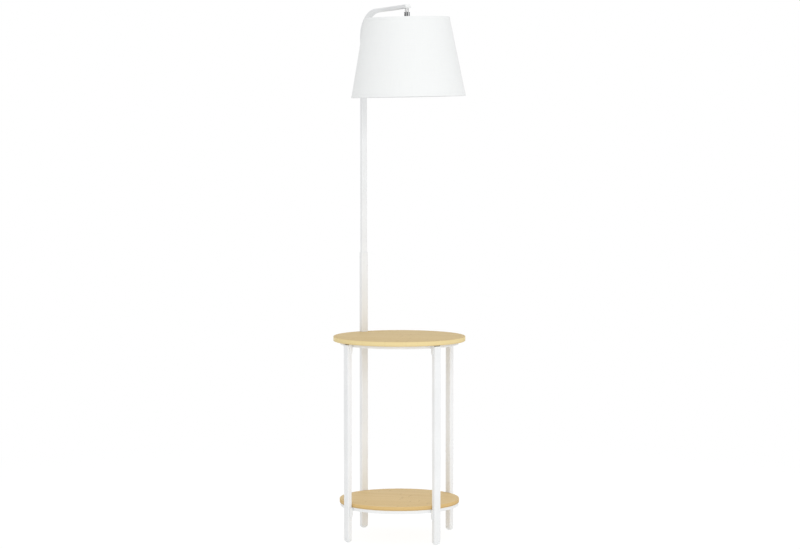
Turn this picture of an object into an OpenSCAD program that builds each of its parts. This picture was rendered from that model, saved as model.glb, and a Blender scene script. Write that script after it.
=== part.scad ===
// Floor lamp with a round side table and a lower shelf.
// Four flat oval-cornered tube legs carry two wooden boards on steel rings. The back left leg
// runs on upwards as a pole, a slimmer tube plugs into it, bends over, and hangs the shade.
// The origin is on the floor under the middle of the table. Z is up and the front faces -Y.

/* [Table top] */
// Diameter of the table top
top_d = 400; // [360:5:480]
// Thickness of the table top
top_t = 14; // [12:1:22]
// Height of the table top's upper face above the floor
top_h = 612; // [480:4:740]
// How far the table top reaches past the legs
top_overhang = 3; // [1:0.5:12]
// Space between the pole and the notch that it passes through
notch_gap = 0.6; // [0.4:0.1:1.5]

/* [Shelf] */
// Thickness of the shelf
shelf_t = 12; // [11:1:20]
// Height of the shelf's upper face above the floor
shelf_h = 118; // [90:2:300]
// Space between the shelf's edge and the legs
shelf_gap = 1; // [0.6:0.1:3]

/* [Board edges] */
// Radius on the edges of both boards
board_edge_r = 1.5; // [0.5:0.25:3]

/* [Rings] */
// Height of the square ring tubes
ring_h = 10; // [8:0.5:12]
// Width of the square ring tubes
ring_w = 10; // [8:0.5:14]
// Wall of the ring tubes
ring_wall = 1.2; // [0.8:0.1:2]

/* [Legs] */
// Width of a leg, along the table's edge
leg_w = 23; // [20:0.5:26]
// Depth of a leg, towards the table's middle
leg_depth = 14.5; // [13.5:0.25:18]
// Wall of the leg tubes
leg_wall = 1.5; // [1:0.1:1.6]
// Outer corner radius of the leg tubes
leg_corner = 2.5; // [2.2:0.1:4]
// Shadow gap between a leg's plug and the table top
leg_top_gap = 3; // [1:0.5:8]

/* [Leg plugs and feet] */
// How far a foot's neck is set in from the tube's sides
foot_neck_in = 0.6; // [0.3:0.1:1]
// Visible height of a leg's top plug
plug_flange = 2.5; // [1.5:0.25:4]
// Length of a plug's stem inside the tube
plug_stem = 5.5; // [4:0.5:6]
// Space between a stem and the tube around it
stem_gap = 0.15; // [0.1:0.05:0.3]
// Visible height of a foot under the tube
foot_h = 10; // [7:0.5:12]
// Height of the recessed neck that makes the joint line over a foot
foot_neck = 0.8; // [0.4:0.1:1.5]
// Length of a foot's stem inside the tube
foot_stem = 22; // [12:1:30]
// Width of the flat face that a foot stands on
foot_tip_w = 12; // [8:0.5:17]
// Depth of the flat face that a foot stands on
foot_tip_d = 6; // [5:0.5:10]
// Share of a foot's height at which its rounding turns under
foot_turn = 0.35; // [0.25:0.05:0.45]
// How far a foot's sides are drawn in at that turn
foot_turn_in = 1.75; // [1.25:0.25:2]
// Share of a foot's height at which it reaches the tube's full size
foot_full = 0.8; // [0.6:0.05:0.9]

/* [Saddles] */
// Sheet thickness of a saddle bracket
saddle_t = 2; // [1.5:0.1:3]
// Space between a saddle's web and the leg, which the rivet nut's flange fills
saddle_gap = 0.8; // [0.6:0.1:1.2]
// Space between a saddle's cheeks and the leg's sides
saddle_side_gap = 0.2; // [0.1:0.05:0.5]
// Length of the cheeks across the leg
saddle_cheek = 12; // [10:0.5:14]
// Height of the cheeks
saddle_h = 30; // [27:0.5:40]
// Height of the web
saddle_web_h = 22; // [21:0.5:26]

/* [Leg screws] */
// Distance from a board's underside down to the screws into the legs
leg_screw_drop = 16; // [15:0.25:17.5]
// Radius of the machine screws
screw_r = 1.95; // [1.5:0.05:2.2]
// Radius of the machine screws' heads
screw_head_r = 3.8; // [3.2:0.1:4.4]
// Height of the machine screws' heads
screw_head_h = 2.4; // [1.8:0.1:3]
// Space round a screw in its through hole
screw_gap = 0.25; // [0.1:0.05:0.5]
// Radius of a rivet nut's body
nut_r = 3; // [2.8:0.1:3.2]
// Radius of a rivet nut's flange
nut_flange_r = 4.2; // [3.8:0.1:5]
// Radius of the bulge that clamps a rivet nut inside the leg
nut_bulge_r = 3.7; // [3.4:0.1:4.2]
// Length of a rivet nut, from the leg's face inwards
nut_len = 6.2; // [5.6:0.1:6.3]
// Length of the bulge that clamps a rivet nut
nut_bulge_len = 1.6; // [1:0.1:2]
// How far a machine screw's tip stays inside its rivet nut
screw_short = 0.4; // [0.2:0.1:1]

/* [Wood screws] */
// Radius of the wood screws' shanks
wood_screw_r = 1.75; // [1.4:0.05:2.2]
// Radius of the wood screws' heads
wood_head_r = 4; // [3.4:0.1:4.6]
// Height of the wood screws' heads
wood_head_h = 2.2; // [1.6:0.1:3]
// Turn of each wood screw round the ring from its leg, in degrees
wood_turn = 3.3; // [3.2:0.1:12]
// Depth that the wood screws bite into a board
wood_bite = 9; // [7:0.5:10]
// Empty end of the pilot hole past a wood screw's tip
wood_spare = 0.5; // [0.2:0.1:1]

/* [Pole and arm] */
// Height of the joint where the slimmer tube leaves the back left leg
seam_h = 857; // [780:5:1000]
// Sliding space on each side between the two pole tubes
slide_gap = 0.2; // [0.1:0.05:0.4]
// Wall of the upper tube
pole_wall = 1.2; // [1:0.1:1.3]
// Outer corner radius of the upper tube
pole_corner = 2.2; // [2:0.1:3]
// Length of upper tube inside the lower one
insert_len = 90; // [60:5:150]
// Height of the arm's axis above the floor, over the shade
arm_h = 1604.8; // [1400:4:1750]
// Rise of the arm above level, in degrees
arm_rise = 3; // [0:0.5:5]
// Radius of the bend at the top of the pole
bend_r = 77; // [60:1:120]
// How far past the table's middle the shade hangs
shade_offset = 39; // [0:1:60]
// Length of arm past the shade's hanging point
arm_tip = 5.5; // [5.2:0.1:12]
// Depth of the arm's end plug inside the tube
plug_depth = 2; // [1.5:0.1:2.2]
// How far the arm's end plug stands past the tube
plug_out = 1.8; // [1.2:0.1:3]
// Thickness of the end plug's straight rim
plug_rim = 0.8; // [0.4:0.1:1]
// How far the end plug's outer face is drawn in from its rim
plug_in = 1.2; // [0.6:0.1:1.4]
// How much the upper tube swells in its bend
bend_swell = 0.03; // [0.02:0.01:0.05]
// Height of the lock screw in the pole, below the joint
lock_drop = 40; // [20:1:55]
// Across-flats half width of the weld nut behind the lock screw
weld_nut_r = 2.9; // [2.85:0.05:2.9]
// Thickness of the weld nut
weld_nut_t = 3; // [2.4:0.1:3.4]
// Radius of the weld nut's round pilot against the wall
weld_pilot_r = 2.8; // [2.5:0.05:2.85]
// Height of the weld nut's round pilot
weld_pilot_t = 0.5; // [0.4:0.1:0.8]

/* [Cable way] */
// Height of the cable inlet in the back of the pole
inlet_h = 60; // [45:1:75]
// Radius of the bore through the inlet's grommet
inlet_bore_r = 2.9; // [2.2:0.1:3.1]
// Radius of the hole in the pole for the grommet
inlet_hole_r = 4.5; // [4.2:0.1:5]
// Radius of the grommet's outer flange
inlet_flange_r = 6.5; // [5.5:0.1:7.5]
// Thickness of the grommet's outer flange
inlet_flange_t = 1.6; // [1:0.1:2.4]
// Thickness of the grommet's inner lip
inlet_lip_t = 1; // [0.6:0.1:1.2]
// How far the grommet's inner lip reaches past its hole
inlet_lip = 0.8; // [0.5:0.1:1]
// Distance from the inlet's middle up to the lead's lower end
lead_start = 6; // [3:0.5:12]
// Radius of the lead inside the pole and arm
lead_r = 2.2; // [1.8:0.1:2.2]
// How far the lead lies off the tubes' axis, towards the outside of the bend
lead_off = 1.7; // [1.2:0.1:1.8]
// Radius of the lead's bend down out of the arm
lead_bend_r = 8.8; // [8:0.2:11]
// Space between the lead's two lengths at the swivel
lead_split = 1; // [0.8:0.1:1.6]
// Space round the lead where it leaves the arm
lead_hole_gap = 0.35; // [0.25:0.05:0.5]

/* [Swivel] */
// Drop from the arm's axis to the swivel's axis
pivot_drop = 20.8; // [18:0.2:30]
// Radius of the hanger's wire
link_r = 1.25; // [1:0.05:1.5]
// Distance from the middle to each leg of the hanger
link_y = 5.4; // [5.2:0.05:5.5]
// Space round the hanger's legs in the arm's holes
link_gap = 0.45; // [0.4:0.05:0.6]
// Thickness of the plate that carries the hanger inside the arm
plate_t = 1.6; // [1.2:0.1:2]
// Metal left behind the lead's hole in that plate
plate_rim = 1.5; // [1:0.1:3]
// Space between that plate and the arm's end plug
plate_gap = 0.2; // [0.1:0.05:0.5]
// Outer radius of the swivel cup
cup_r = 8.3; // [8.2:0.1:10]
// Wall of the swivel cup
cup_wall = 1.2; // [0.9:0.1:1.3]
// Thickness of the swivel cup's floor
cup_floor = 2; // [1.5:0.1:2.5]
// Height of the cup's rim above the swivel's axis
cup_rim = 3.6; // [2.8:0.1:4]
// Depth of the cup's bottom below the swivel's axis
cup_drop = 9; // [8.6:0.1:12]
// Bevel on the swivel cup's lower edge
cup_chamfer = 0.7; // [0.3:0.1:1]
// How far the hanger's pins stay inside the cup's outer face
pin_short = 0.2; // [0.1:0.1:0.5]
// Running clearance of the swivel's pins and of the nipple
run_gap = 0.05; // [0.02:0.01:0.1]
// Radius of the hollow nipple
nipple_r = 4; // [3.6:0.1:4.6]
// Wall of the hollow nipple
nipple_wall = 1.4; // [1:0.1:1.4]
// Thickness of the nipple's head
nipple_head_t = 1.5; // [1:0.1:1.8]
// Space between the nipple's head and the cup's wall
nipple_head_gap = 1.2; // [0.5:0.1:1.5]
// End play between the nipple's head and the cup's floor
end_play = 0.1; // [0.05:0.05:0.3]
// Length of the nipple below the cup
nipple_len = 10; // [8:0.5:12]
// Thickness of the nut on the nipple
nipple_nut_t = 3.2; // [2.4:0.2:4]
// Radius to the corners of the nut on the nipple
nipple_nut_r = 7.2; // [6.5:0.1:8]

/* [Lamp holder] */
// Gap between the cup and the lamp holder's cap
holder_gap = 0.3; // [0.2:0.1:1]
// Outer radius of the lamp holder's cap
cap_r = 19.5; // [18.5:0.1:21]
// Wall of the cap
cap_wall = 1.6; // [1.2:0.1:2]
// Height of the cap
cap_h = 28.7; // [26:0.1:34]
// Height of the cap's rounded shoulder
cap_dome = 14.7; // [12:0.1:15]
// Space between the holder's body and its cap
body_gap = 0.2; // [0.1:0.05:0.4]
// Distance from the cap's shoulder down to the holder's body
body_drop = 0.5; // [0.2:0.1:2]
// Thickness of the solid top of the holder's body, over the screw shell
body_top_t = 8; // [6:0.5:9]
// Radius of the shoulder that the shade's ring lies under
shoulder_r = 22.5; // [21.5:0.1:23]
// Thickness of that shoulder
shoulder_t = 3; // [2:0.1:4]
// Radius of the holder's threaded skirt
skirt_r = 19.6; // [18:0.1:19.6]
// Length of the skirt
skirt_len = 25; // [20:0.5:30]
// Outer radius of the brass screw shell
shell_r = 14; // [13.9:0.05:14.2]
// Wall of the brass screw shell
shell_wall = 0.6; // [0.5:0.05:0.7]
// Distance from the skirt's end up to the screw shell
shell_in = 5; // [3:0.5:7]
// Length of the centre contact's leaf
contact_len = 16; // [12:0.5:20]
// Width of the centre contact's leaf
contact_w = 6; // [5.4:0.2:8]
// Thickness of the centre contact's leaf
contact_t = 0.6; // [0.4:0.05:0.8]
// Height of the centre contact under the holder's body
contact_h = 1.7; // [1.2:0.1:3]
// Radius of the centre contact's button
contact_r = 2.6; // [2:0.1:3]
// Space between the centre contact and the bulb's tip
contact_gap = 0.05; // [0.05:0.05:0.1]
// Outer radius of the collar that holds the shade up
collar_r = 26; // [24:0.5:27]
// Height of the collar
collar_h = 7.5; // [6:0.5:10]
// Thickness of the collar's flange
collar_flange = 2; // [1.5:0.1:3]
// Wall of the collar
collar_wall = 3; // [2:0.1:3.5]

/* [Bulb] */
// Radius of the bulb's globe
bulb_r = 30; // [25:1:40]
// Length of the bulb's glass below the holder
bulb_len = 82; // [76:1:100]
// Thickness of the bulb's glass
bulb_wall = 0.8; // [0.5:0.1:1.2]
// Wall of the bulb's metal cap
bulb_cap_wall = 0.5; // [0.3:0.05:0.6]
// Distance from the skirt's end up to the rim of the bulb's cap
bulb_cap_in = 6; // [5:0.5:8]
// How far the glass neck reaches into the bulb's cap
bulb_neck_in = 4; // [2:0.5:6]
// Space round the glass neck in the bulb's cap
bulb_neck_gap = 0.1; // [0.05:0.05:0.2]
// Radius at the foot of the bulb's tip
tip_r = 7.5; // [6:0.5:9]
// Radius at the end of the bulb's tip
tip_end_r = 4.2; // [3:0.2:5]
// Height of the bulb's tip
tip_h = 2.4; // [2:0.1:3]
// Clearance of the bulb's thread in the screw shell
bulb_gap = 0.15; // [0.05:0.05:0.25]

/* [Shade] */
// Radius of the shade at its top edge
shade_top_r = 128.2; // [110:1:140]
// Radius of the shade at its bottom edge
shade_bottom_r = 172.4; // [150:1:190]
// Height of the shade
shade_h = 236.5; // [200:1:260]
// Drop from the swivel's axis to the shade's top edge
shade_drop = 13.3; // [12:0.1:20]
// Lean of the hanging shade, in degrees, as it came to rest
shade_lean = 1.2; // [0:0.1:2]
// Thickness of the shade's stiffened fabric
cover_t = 0.9; // [0.6:0.1:1.5]
// Thickness of the trim tape
trim_t = 0.4; // [0.3:0.1:0.8]
// Height of the trim tape
trim_h = 8; // [6:0.5:12]
// Space between the layers of the shade
cloth_gap = 0.1; // [0.05:0.05:0.2]
// Radius of the shade's wires
wire_r = 1.5; // [1:0.1:2]
// Space between the shade's wires and its fabric
wire_gap = 0.35; // [0.3:0.05:0.6]
// Number of arms on the shade's spider
spider_arms = 3; // [3:1:4]
// Thickness of the spider's fitter ring
fitter_t = 1.5; // [1:0.1:2]
// Outer radius of the fitter ring
fitter_r = 27.5; // [27:0.5:32]
// Space between the fitter ring and the holder's skirt
fitter_gap = 0.3; // [0.2:0.05:0.5]
// Distance from the holder's shoulder to the ends of the spider's arms
spider_in = 1.3; // [1:0.1:2]

/* [Hidden] */
$fn = 96;

// Colours
white_paint = "#eef0ee";
bamboo = "#dcc49a";
white_plastic = "#f2f3f1";
zinc = "#b4b6b8";
chrome = "#c9ccd0";
brass = "#c7a24e";
linen = "#f6f7f6";

// Angles of the legs round the table, seen from above
front_left = 225;
front_right = 315;
back_right = 45;
back_left = 135;
ALL_LEGS = [front_left, front_right, back_right, back_left];

eps = 0.01;
lap = 0.1;
leg_r = top_d / 2 - top_overhang - leg_depth / 2;
leg_inner_face = leg_r - leg_depth / 2;
shelf_r = leg_inner_face - shelf_gap;
web_face = leg_depth / 2 + saddle_gap;
ring_r = leg_r - web_face - saddle_t;
ring_mid_r = ring_r - ring_w / 2;
top_under = top_h - top_t;
shelf_under = shelf_h - shelf_t;
leg_tube_top = top_under - leg_top_gap - plug_flange;
stem_w = leg_w - 2 * (leg_wall + stem_gap);
stem_d = leg_depth - 2 * (leg_wall + stem_gap);
stem_corner = leg_corner - leg_wall;

pole_w = leg_w - 2 * (leg_wall + slide_gap);
pole_depth = leg_depth - 2 * (leg_wall + slide_gap);
insert_z = seam_h - insert_len;
lock_z = seam_h - lock_drop;
arm_reach = leg_r + shade_offset;
bend_angle = 90 - arm_rise;
bend_end_x = bend_r * (1 - cos(bend_angle));
bend_z = arm_h - (arm_reach - bend_end_x) * tan(arm_rise) - bend_r * sin(bend_angle);
bend_to_hanger = (arm_reach - bend_end_x) / cos(arm_rise);
arm_len = bend_to_hanger + arm_tip;
arm_floor = pole_depth / 2 - pole_wall;

lead_rise = lead_bend_r - lead_off;
lead_c = lead_rise * cos(arm_rise) + (lead_bend_r + lead_rise * sin(arm_rise)) * tan(arm_rise);
arm_hole = [lead_x(-1, arm_floor), lead_x(1, pole_depth / 2)];
plate_hole = [lead_x(-1, arm_floor - plate_t), lead_x(1, arm_floor)];

pivot_h = arm_h - pivot_drop;
pivot = [-shade_offset * cos(back_left), -shade_offset * sin(back_left), pivot_h];
pin_r = link_r;
pin_end = cup_r - pin_short;
cup_inner_r = cup_r - cup_wall;
nipple_bore_r = nipple_r - nipple_wall;
nipple_head_r = cup_inner_r - nipple_head_gap;
nipple_head_z = -cup_drop + cup_floor + end_play;

cap_top = -cup_drop - holder_gap;
cap_bottom = cap_top - cap_h;
body_top = cap_top - cap_dome - body_drop;
shoulder_z = cap_bottom - shoulder_t;
skirt_end = shoulder_z - skirt_len;
shell_top = body_top - body_top_t;
bulb_base_r = shell_r - shell_wall - bulb_gap;
tip_top = shell_top - contact_h - contact_gap;
bulb_base_top = tip_top - tip_h;
bulb_base_end = skirt_end + bulb_cap_in;
bulb_neck_r = bulb_base_r - bulb_cap_wall - bulb_neck_gap;
globe_z = skirt_end - bulb_len + bulb_r;
fitter_top = shoulder_z;
fitter_bottom = fitter_top - fitter_t;

shade_top = -shade_drop;
shade_bottom = shade_top - shade_h;
shade_slope = (shade_bottom_r - shade_top_r) / shade_h;
trim_inset = trim_t + cloth_gap;
top_wire_z = shade_top - trim_inset - wire_r;
bottom_wire_z = shade_bottom + trim_inset + wire_r;

// Where the lead's inner (-1) or outer (+1) side lies along the arm, at a drop below its axis
function lead_x(side, drop) =
    sqrt(pow(lead_bend_r + side * lead_r, 2) - pow(lead_c - drop, 2)) - lead_bend_r;
// Outer radius of the shade's trim at a height
function shade_r(z) = shade_top_r + (shade_top - z) * shade_slope;
// Radius of a wire's ring that lies inside the cover at a height
function wire_ring_r(z) = shade_r(z) - trim_inset - cover_t - cloth_gap - wire_r - wire_gap;

// ---- Frames ----

module at_leg(angle) {
    rotate([0, 0, angle]) translate([leg_r, 0, 0]) children();
}

// The pole's own frame: +X points to the table's middle
module pole_frame() {
    at_leg(back_left) rotate([0, 0, 180]) children();
}

// The pole's frame moved to the centre of its bend
module bend_frame() {
    pole_frame() translate([bend_r, 0, bend_z]) children();
}

// Turns a section at bend_r from the pole's direction to the arm's
module around_bend() {
    rotate([90, 0, 0]) rotate([0, 0, 180 - bend_angle]) rotate_extrude(angle = bend_angle) children();
}

// A frame on the arm over the shade: +X runs along the arm to its tip
module arm_frame() {
    pole_frame() translate([arm_reach, 0, arm_h]) rotate([0, -arm_rise, 0]) children();
}

// A frame at the swivel's axis, with the shade's lean: +Y is the swivel's axis
module hung() {
    translate(pivot) rotate([0, -shade_lean, 0]) rotate([0, 0, back_left + 180]) children();
}

// ---- Shared shapes ----

module rounded_rect(x, y, r) {
    square([x - 2 * r, y], center = true);
    square([x, y - 2 * r], center = true);
    for (i = [-1, 1], j = [-1, 1])
        translate([i * (x / 2 - r), j * (y / 2 - r)]) circle(r, $fn = min($fn, 48));
}

module tube_section(x, y, r, wall) {
    difference() {
        rounded_rect(x, y, r);
        rounded_rect(x - 2 * wall, y - 2 * wall, r - wall);
    }
}

module leg_section() {
    tube_section(leg_depth, leg_w, leg_corner, leg_wall);
}

module pole_section(swell = 0) {
    tube_section(pole_depth + 2 * swell, pole_w + 2 * swell, pole_corner + swell, pole_wall + 2 * swell);
}

// A hole through a wall under the arm, between two places along it
module lead_hole(ends, h) {
    translate([(ends[0] + ends[1]) / 2, 0, 0])
        cylinder(r = (ends[1] - ends[0]) / 2 + lead_hole_gap, h = h);
}

module board(r, t, z) {
    translate([0, 0, z])
    rotate_extrude()
    intersection() {
        union() {
            square([r - board_edge_r, t]);
            translate([0, board_edge_r]) square([r, t - 2 * board_edge_r]);
            for (h = [board_edge_r, t - board_edge_r])
                translate([r - board_edge_r, h]) circle(board_edge_r);
        }
        square([r, t]);
    }
}

// Beside each leg, turned away from the front on the front legs and from the back on the back legs
module wood_screw_places() {
    for (i = [0 : 3])
        rotate([0, 0, ALL_LEGS[i] + (i % 2 == 0 ? -wood_turn : wood_turn)])
        translate([ring_mid_r, 0, 0]) children();
}

module board_pilot_holes(under) {
    wood_screw_places()
        translate([0, 0, under - eps]) cylinder(r = wood_screw_r, h = wood_bite + eps);
}

module ring(under) {
    color(white_paint)
    difference() {
        translate([0, 0, under - ring_h])
        rotate_extrude()
        translate([ring_r - ring_w, 0])
        difference() {
            square([ring_w, ring_h]);
            translate([ring_wall, ring_wall])
                square([ring_w - 2 * ring_wall, ring_h - 2 * ring_wall]);
        }
        wood_screw_places()
            translate([0, 0, under - ring_h - 1]) cylinder(r = wood_screw_r + screw_gap, h = ring_h + 2);
    }
}

// A bent steel saddle that hugs a leg's inner face and both sides
module saddle(angle, under) {
    side_y = leg_w / 2 + saddle_side_gap;
    outer_x = -web_face - saddle_t;
    cheek_end = outer_x + saddle_cheek;
    color(white_paint)
    at_leg(angle)
    difference() {
        translate([outer_x, -side_y - saddle_t, under - saddle_h])
            cube([saddle_cheek, 2 * (side_y + saddle_t), saddle_h]);
        translate([-web_face, -side_y, under - saddle_h - 1])
            cube([saddle_cheek + 1, 2 * side_y, saddle_h + 2]);
        translate([outer_x - 1, -side_y - saddle_t - 1, under - saddle_h - 1])
            cube([saddle_t + 1.5, 2 * (side_y + saddle_t) + 2, saddle_h - saddle_web_h + 1]);
        translate([(outer_x + cheek_end) / 2, 0, under - saddle_h + saddle_cheek / 2])
        difference() {
            translate([-saddle_cheek, -side_y - saddle_t - 1, -saddle_cheek])
                cube([2 * saddle_cheek, 2 * (side_y + saddle_t) + 2, saddle_cheek]);
            rotate([90, 0, 0])
                cylinder(r = saddle_cheek / 2, h = 2 * (side_y + saddle_t) + 4, center = true);
        }
        translate([outer_x - 1, 0, under - leg_screw_drop]) rotate([0, 90, 0])
            cylinder(r = screw_r + screw_gap, h = saddle_t + 2);
    }
}

// The hole in a leg's inner wall for a rivet nut
module rivet_hole(under) {
    translate([-leg_depth / 2 - 1, 0, under - leg_screw_drop]) rotate([0, 90, 0])
        cylinder(r = nut_r, h = leg_wall + 2);
}

module leg_screws(under) {
    color(zinc)
    for (angle = ALL_LEGS)
        at_leg(angle)
        translate([-web_face - saddle_t, 0, under - leg_screw_drop])
        rotate([0, 90, 0]) {
            translate([0, 0, -screw_head_h]) cylinder(r = screw_head_r, h = screw_head_h);
            cylinder(r = screw_r, h = saddle_t + saddle_gap + nut_len - screw_short);
        }
}

module rivet_nuts(under) {
    color(zinc)
    for (angle = ALL_LEGS)
        at_leg(angle)
        translate([-leg_depth / 2, 0, under - leg_screw_drop])
        rotate([0, 90, 0])
        difference() {
            union() {
                translate([0, 0, -saddle_gap]) cylinder(r = nut_flange_r, h = saddle_gap);
                cylinder(r = nut_r, h = nut_len);
                translate([0, 0, leg_wall]) cylinder(r = nut_bulge_r, h = nut_bulge_len);
            }
            translate([0, 0, -saddle_gap - 1]) cylinder(r = screw_r + run_gap, h = nut_len + saddle_gap + 2);
        }
}

module wood_screws(under) {
    color(zinc)
    wood_screw_places()
    translate([0, 0, under - ring_h]) {
        translate([0, 0, -wood_head_h]) cylinder(r = wood_head_r, h = wood_head_h);
        cylinder(r = wood_screw_r, h = ring_h + wood_bite - wood_spare);
    }
}

module leg(angle) {
    color(white_paint)
    at_leg(angle)
    difference() {
        translate([0, 0, foot_h]) linear_extrude(leg_tube_top - foot_h) leg_section();
        rivet_hole(top_under);
        rivet_hole(shelf_under);
    }
}

// Plastic plug that closes a leg's upper end
module leg_plug(angle) {
    color(white_plastic)
    at_leg(angle) translate([0, 0, leg_tube_top]) {
        linear_extrude(plug_flange) rounded_rect(leg_depth, leg_w, leg_corner);
        translate([0, 0, -plug_stem]) linear_extrude(plug_stem)
            rounded_rect(stem_d, stem_w, stem_corner);
    }
}

// One level of a foot's rounded tip
module foot_level(z, x, y, h) {
    translate([0, 0, z]) linear_extrude(h)
        rounded_rect(x, y, min(leg_corner, x / 2 - eps), $fn = 32);
}

// Plastic foot: a rounded tip, a narrow neck that shows as a joint line, and a stem
module foot(angle) {
    tip_h = foot_h - foot_neck;
    color(white_plastic)
    at_leg(angle) {
        hull() {
            foot_level(0, foot_tip_d, foot_tip_w, lap);
            foot_level(tip_h * foot_turn, leg_depth - 2 * foot_turn_in, leg_w - 2 * foot_turn_in, lap);
            foot_level(tip_h * foot_full, leg_depth, leg_w, tip_h * (1 - foot_full));
        }
        translate([0, 0, tip_h]) linear_extrude(foot_neck)
            rounded_rect(leg_depth - 2 * foot_neck_in, leg_w - 2 * foot_neck_in, leg_corner - foot_neck_in);
        translate([0, 0, foot_h]) linear_extrude(foot_stem)
            rounded_rect(stem_d, stem_w, stem_corner);
    }
}

// ---- Table ----

module table_top() {
    notch_w = leg_w + 2 * notch_gap;
    color(bamboo)
    difference() {
        board(top_d / 2, top_t, top_under);
        at_leg(back_left)
            translate([-leg_depth / 2 - notch_gap, -notch_w / 2, top_under - 1])
            cube([top_d, notch_w, top_t + 2]);
        board_pilot_holes(top_under);
    }
}

module shelf() {
    color(bamboo)
    difference() {
        board(shelf_r, shelf_t, shelf_under);
        board_pilot_holes(shelf_under);
    }
}

// ---- Pole and arm ----

module pole_lower() {
    color(white_paint)
    at_leg(back_left)
    difference() {
        translate([0, 0, foot_h]) linear_extrude(seam_h - foot_h) leg_section();
        rivet_hole(top_under);
        rivet_hole(shelf_under);
        translate([leg_depth / 2 - leg_wall - 1, 0, inlet_h]) rotate([0, 90, 0])
            cylinder(r = inlet_hole_r, h = leg_wall + 2);
        translate([0, -leg_w / 2 + leg_wall + 1, lock_z]) rotate([90, 0, 0])
            cylinder(r = screw_r + screw_gap, h = leg_wall + 2);
    }
}

module pole_upper() {
    color(white_paint)
    difference() {
        bend_frame() {
            translate([-bend_r, 0, insert_z - bend_z])
                linear_extrude(bend_z - insert_z + lap) pole_section();
            around_bend() translate([bend_r, 0]) pole_section(bend_swell);
            rotate([0, bend_angle, 0]) translate([-bend_r, 0, -lap])
                linear_extrude(arm_len + lap) pole_section();
        }
        pole_frame() translate([0, pole_w / 2 - pole_wall - 1, lock_z]) rotate([-90, 0, 0])
            cylinder(r = screw_r + screw_gap, h = pole_wall + 2);
        arm_frame() translate([0, 0, -pole_depth / 2 - 1]) lead_hole(arm_hole, pole_wall + 2);
        for (j = [-1, 1])
            hung() translate([0, j * link_y, pivot_drop - pole_depth / 2 - 2])
                cylinder(r = link_r + link_gap, h = pole_wall + 3);
    }
}

module arm_end_plug() {
    inner_w = pole_w - 2 * (pole_wall + stem_gap);
    inner_d = pole_depth - 2 * (pole_wall + stem_gap);
    color(white_plastic)
    arm_frame() translate([arm_tip, 0, 0]) rotate([0, 90, 0]) {
        hull() {
            linear_extrude(plug_rim) rounded_rect(pole_depth, pole_w, pole_corner, $fn = 32);
            linear_extrude(plug_out)
                rounded_rect(pole_depth - 2 * plug_in, pole_w - 2 * plug_in, pole_corner / 2, $fn = 32);
        }
        translate([0, 0, -plug_depth]) linear_extrude(plug_depth)
            rounded_rect(inner_d, inner_w, pole_corner - pole_wall);
    }
}

module pole_lock_screw() {
    color(zinc)
    pole_frame() translate([0, leg_w / 2, lock_z]) rotate([90, 0, 0]) {
        translate([0, 0, -screw_head_h]) cylinder(r = screw_head_r, h = screw_head_h);
        cylinder(r = screw_r, h = leg_wall + slide_gap + pole_wall + weld_nut_t);
    }
}

module pole_weld_nut() {
    color(zinc)
    pole_frame() translate([0, pole_w / 2 - pole_wall, lock_z]) rotate([90, 0, 0])
    difference() {
        union() {
            cylinder(r = weld_pilot_r, h = weld_nut_t);
            translate([-weld_nut_r, -weld_nut_r, weld_pilot_t])
                cube([2 * weld_nut_r, 2 * weld_nut_r, weld_nut_t - weld_pilot_t]);
        }
        translate([0, 0, -1]) cylinder(r = screw_r + run_gap, h = weld_nut_t + 2);
    }
}

module cable_grommet() {
    color(white_plastic)
    at_leg(back_left) translate([leg_depth / 2, 0, inlet_h]) rotate([0, 90, 0])
    difference() {
        union() {
            cylinder(r = inlet_flange_r, h = inlet_flange_t);
            translate([0, 0, -leg_wall]) cylinder(r = inlet_hole_r, h = leg_wall);
            translate([0, 0, -leg_wall - inlet_lip_t]) cylinder(r = inlet_hole_r + inlet_lip, h = inlet_lip_t);
        }
        translate([0, 0, -leg_wall - inlet_lip_t - 1])
            cylinder(r = inlet_bore_r, h = leg_wall + inlet_lip_t + inlet_flange_t + 2);
    }
}

// The lead that runs inside the pole and the arm and turns down at the hanger
module inner_lead() {
    start_z = inlet_h + lead_start;
    run = bend_to_hanger - lead_bend_r / cos(arm_rise) - lead_rise * tan(arm_rise);
    drop = pivot_drop - lead_c - lead_split / 2;
    color(white_plastic) {
        bend_frame() {
            translate([-bend_r - lead_off, 0, start_z - bend_z])
                cylinder(r = lead_r, h = bend_z - start_z + lap);
            around_bend() translate([bend_r + lead_off, 0]) circle(lead_r + bend_swell);
            rotate([0, bend_angle, 0]) translate([-bend_r - lead_off, 0, -lap])
                cylinder(r = lead_r, h = run + 2 * lap);
            translate([arm_reach - bend_r - lead_bend_r, 0, arm_h - bend_z - lead_c]) {
                rotate([90, 0, 0]) rotate_extrude(angle = 90 + arm_rise)
                    translate([lead_bend_r, 0]) circle(lead_r + bend_swell);
                translate([lead_bend_r, 0, -drop]) cylinder(r = lead_r, h = drop + lap);
            }
        }
    }
}

// ---- Swivel ----

// A plate inside the arm with two wire legs, whose ends turn out into the swivel cup
module hanger() {
    plate_back = lead_hole_gap + plate_rim - plate_hole[0];
    plate_front = arm_tip - plug_depth - plate_gap;
    plate_w = pole_w - 2 * pole_corner;
    color(chrome) {
        arm_frame() translate([0, 0, -arm_floor])
        difference() {
            translate([-plate_back, -plate_w / 2, 0]) cube([plate_back + plate_front, plate_w, plate_t]);
            translate([0, 0, -1]) lead_hole(plate_hole, plate_t + 2);
        }
        hung()
        for (j = [-1, 1]) {
            translate([0, j * link_y, 0]) cylinder(r = link_r, h = pivot_drop - arm_floor + plate_t / 2);
            translate([0, j * link_y, 0]) sphere(link_r);
            translate([0, j * link_y, 0]) rotate([-90 * j, 0, 0]) cylinder(r = pin_r, h = pin_end - link_y);
        }
    }
}

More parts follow.
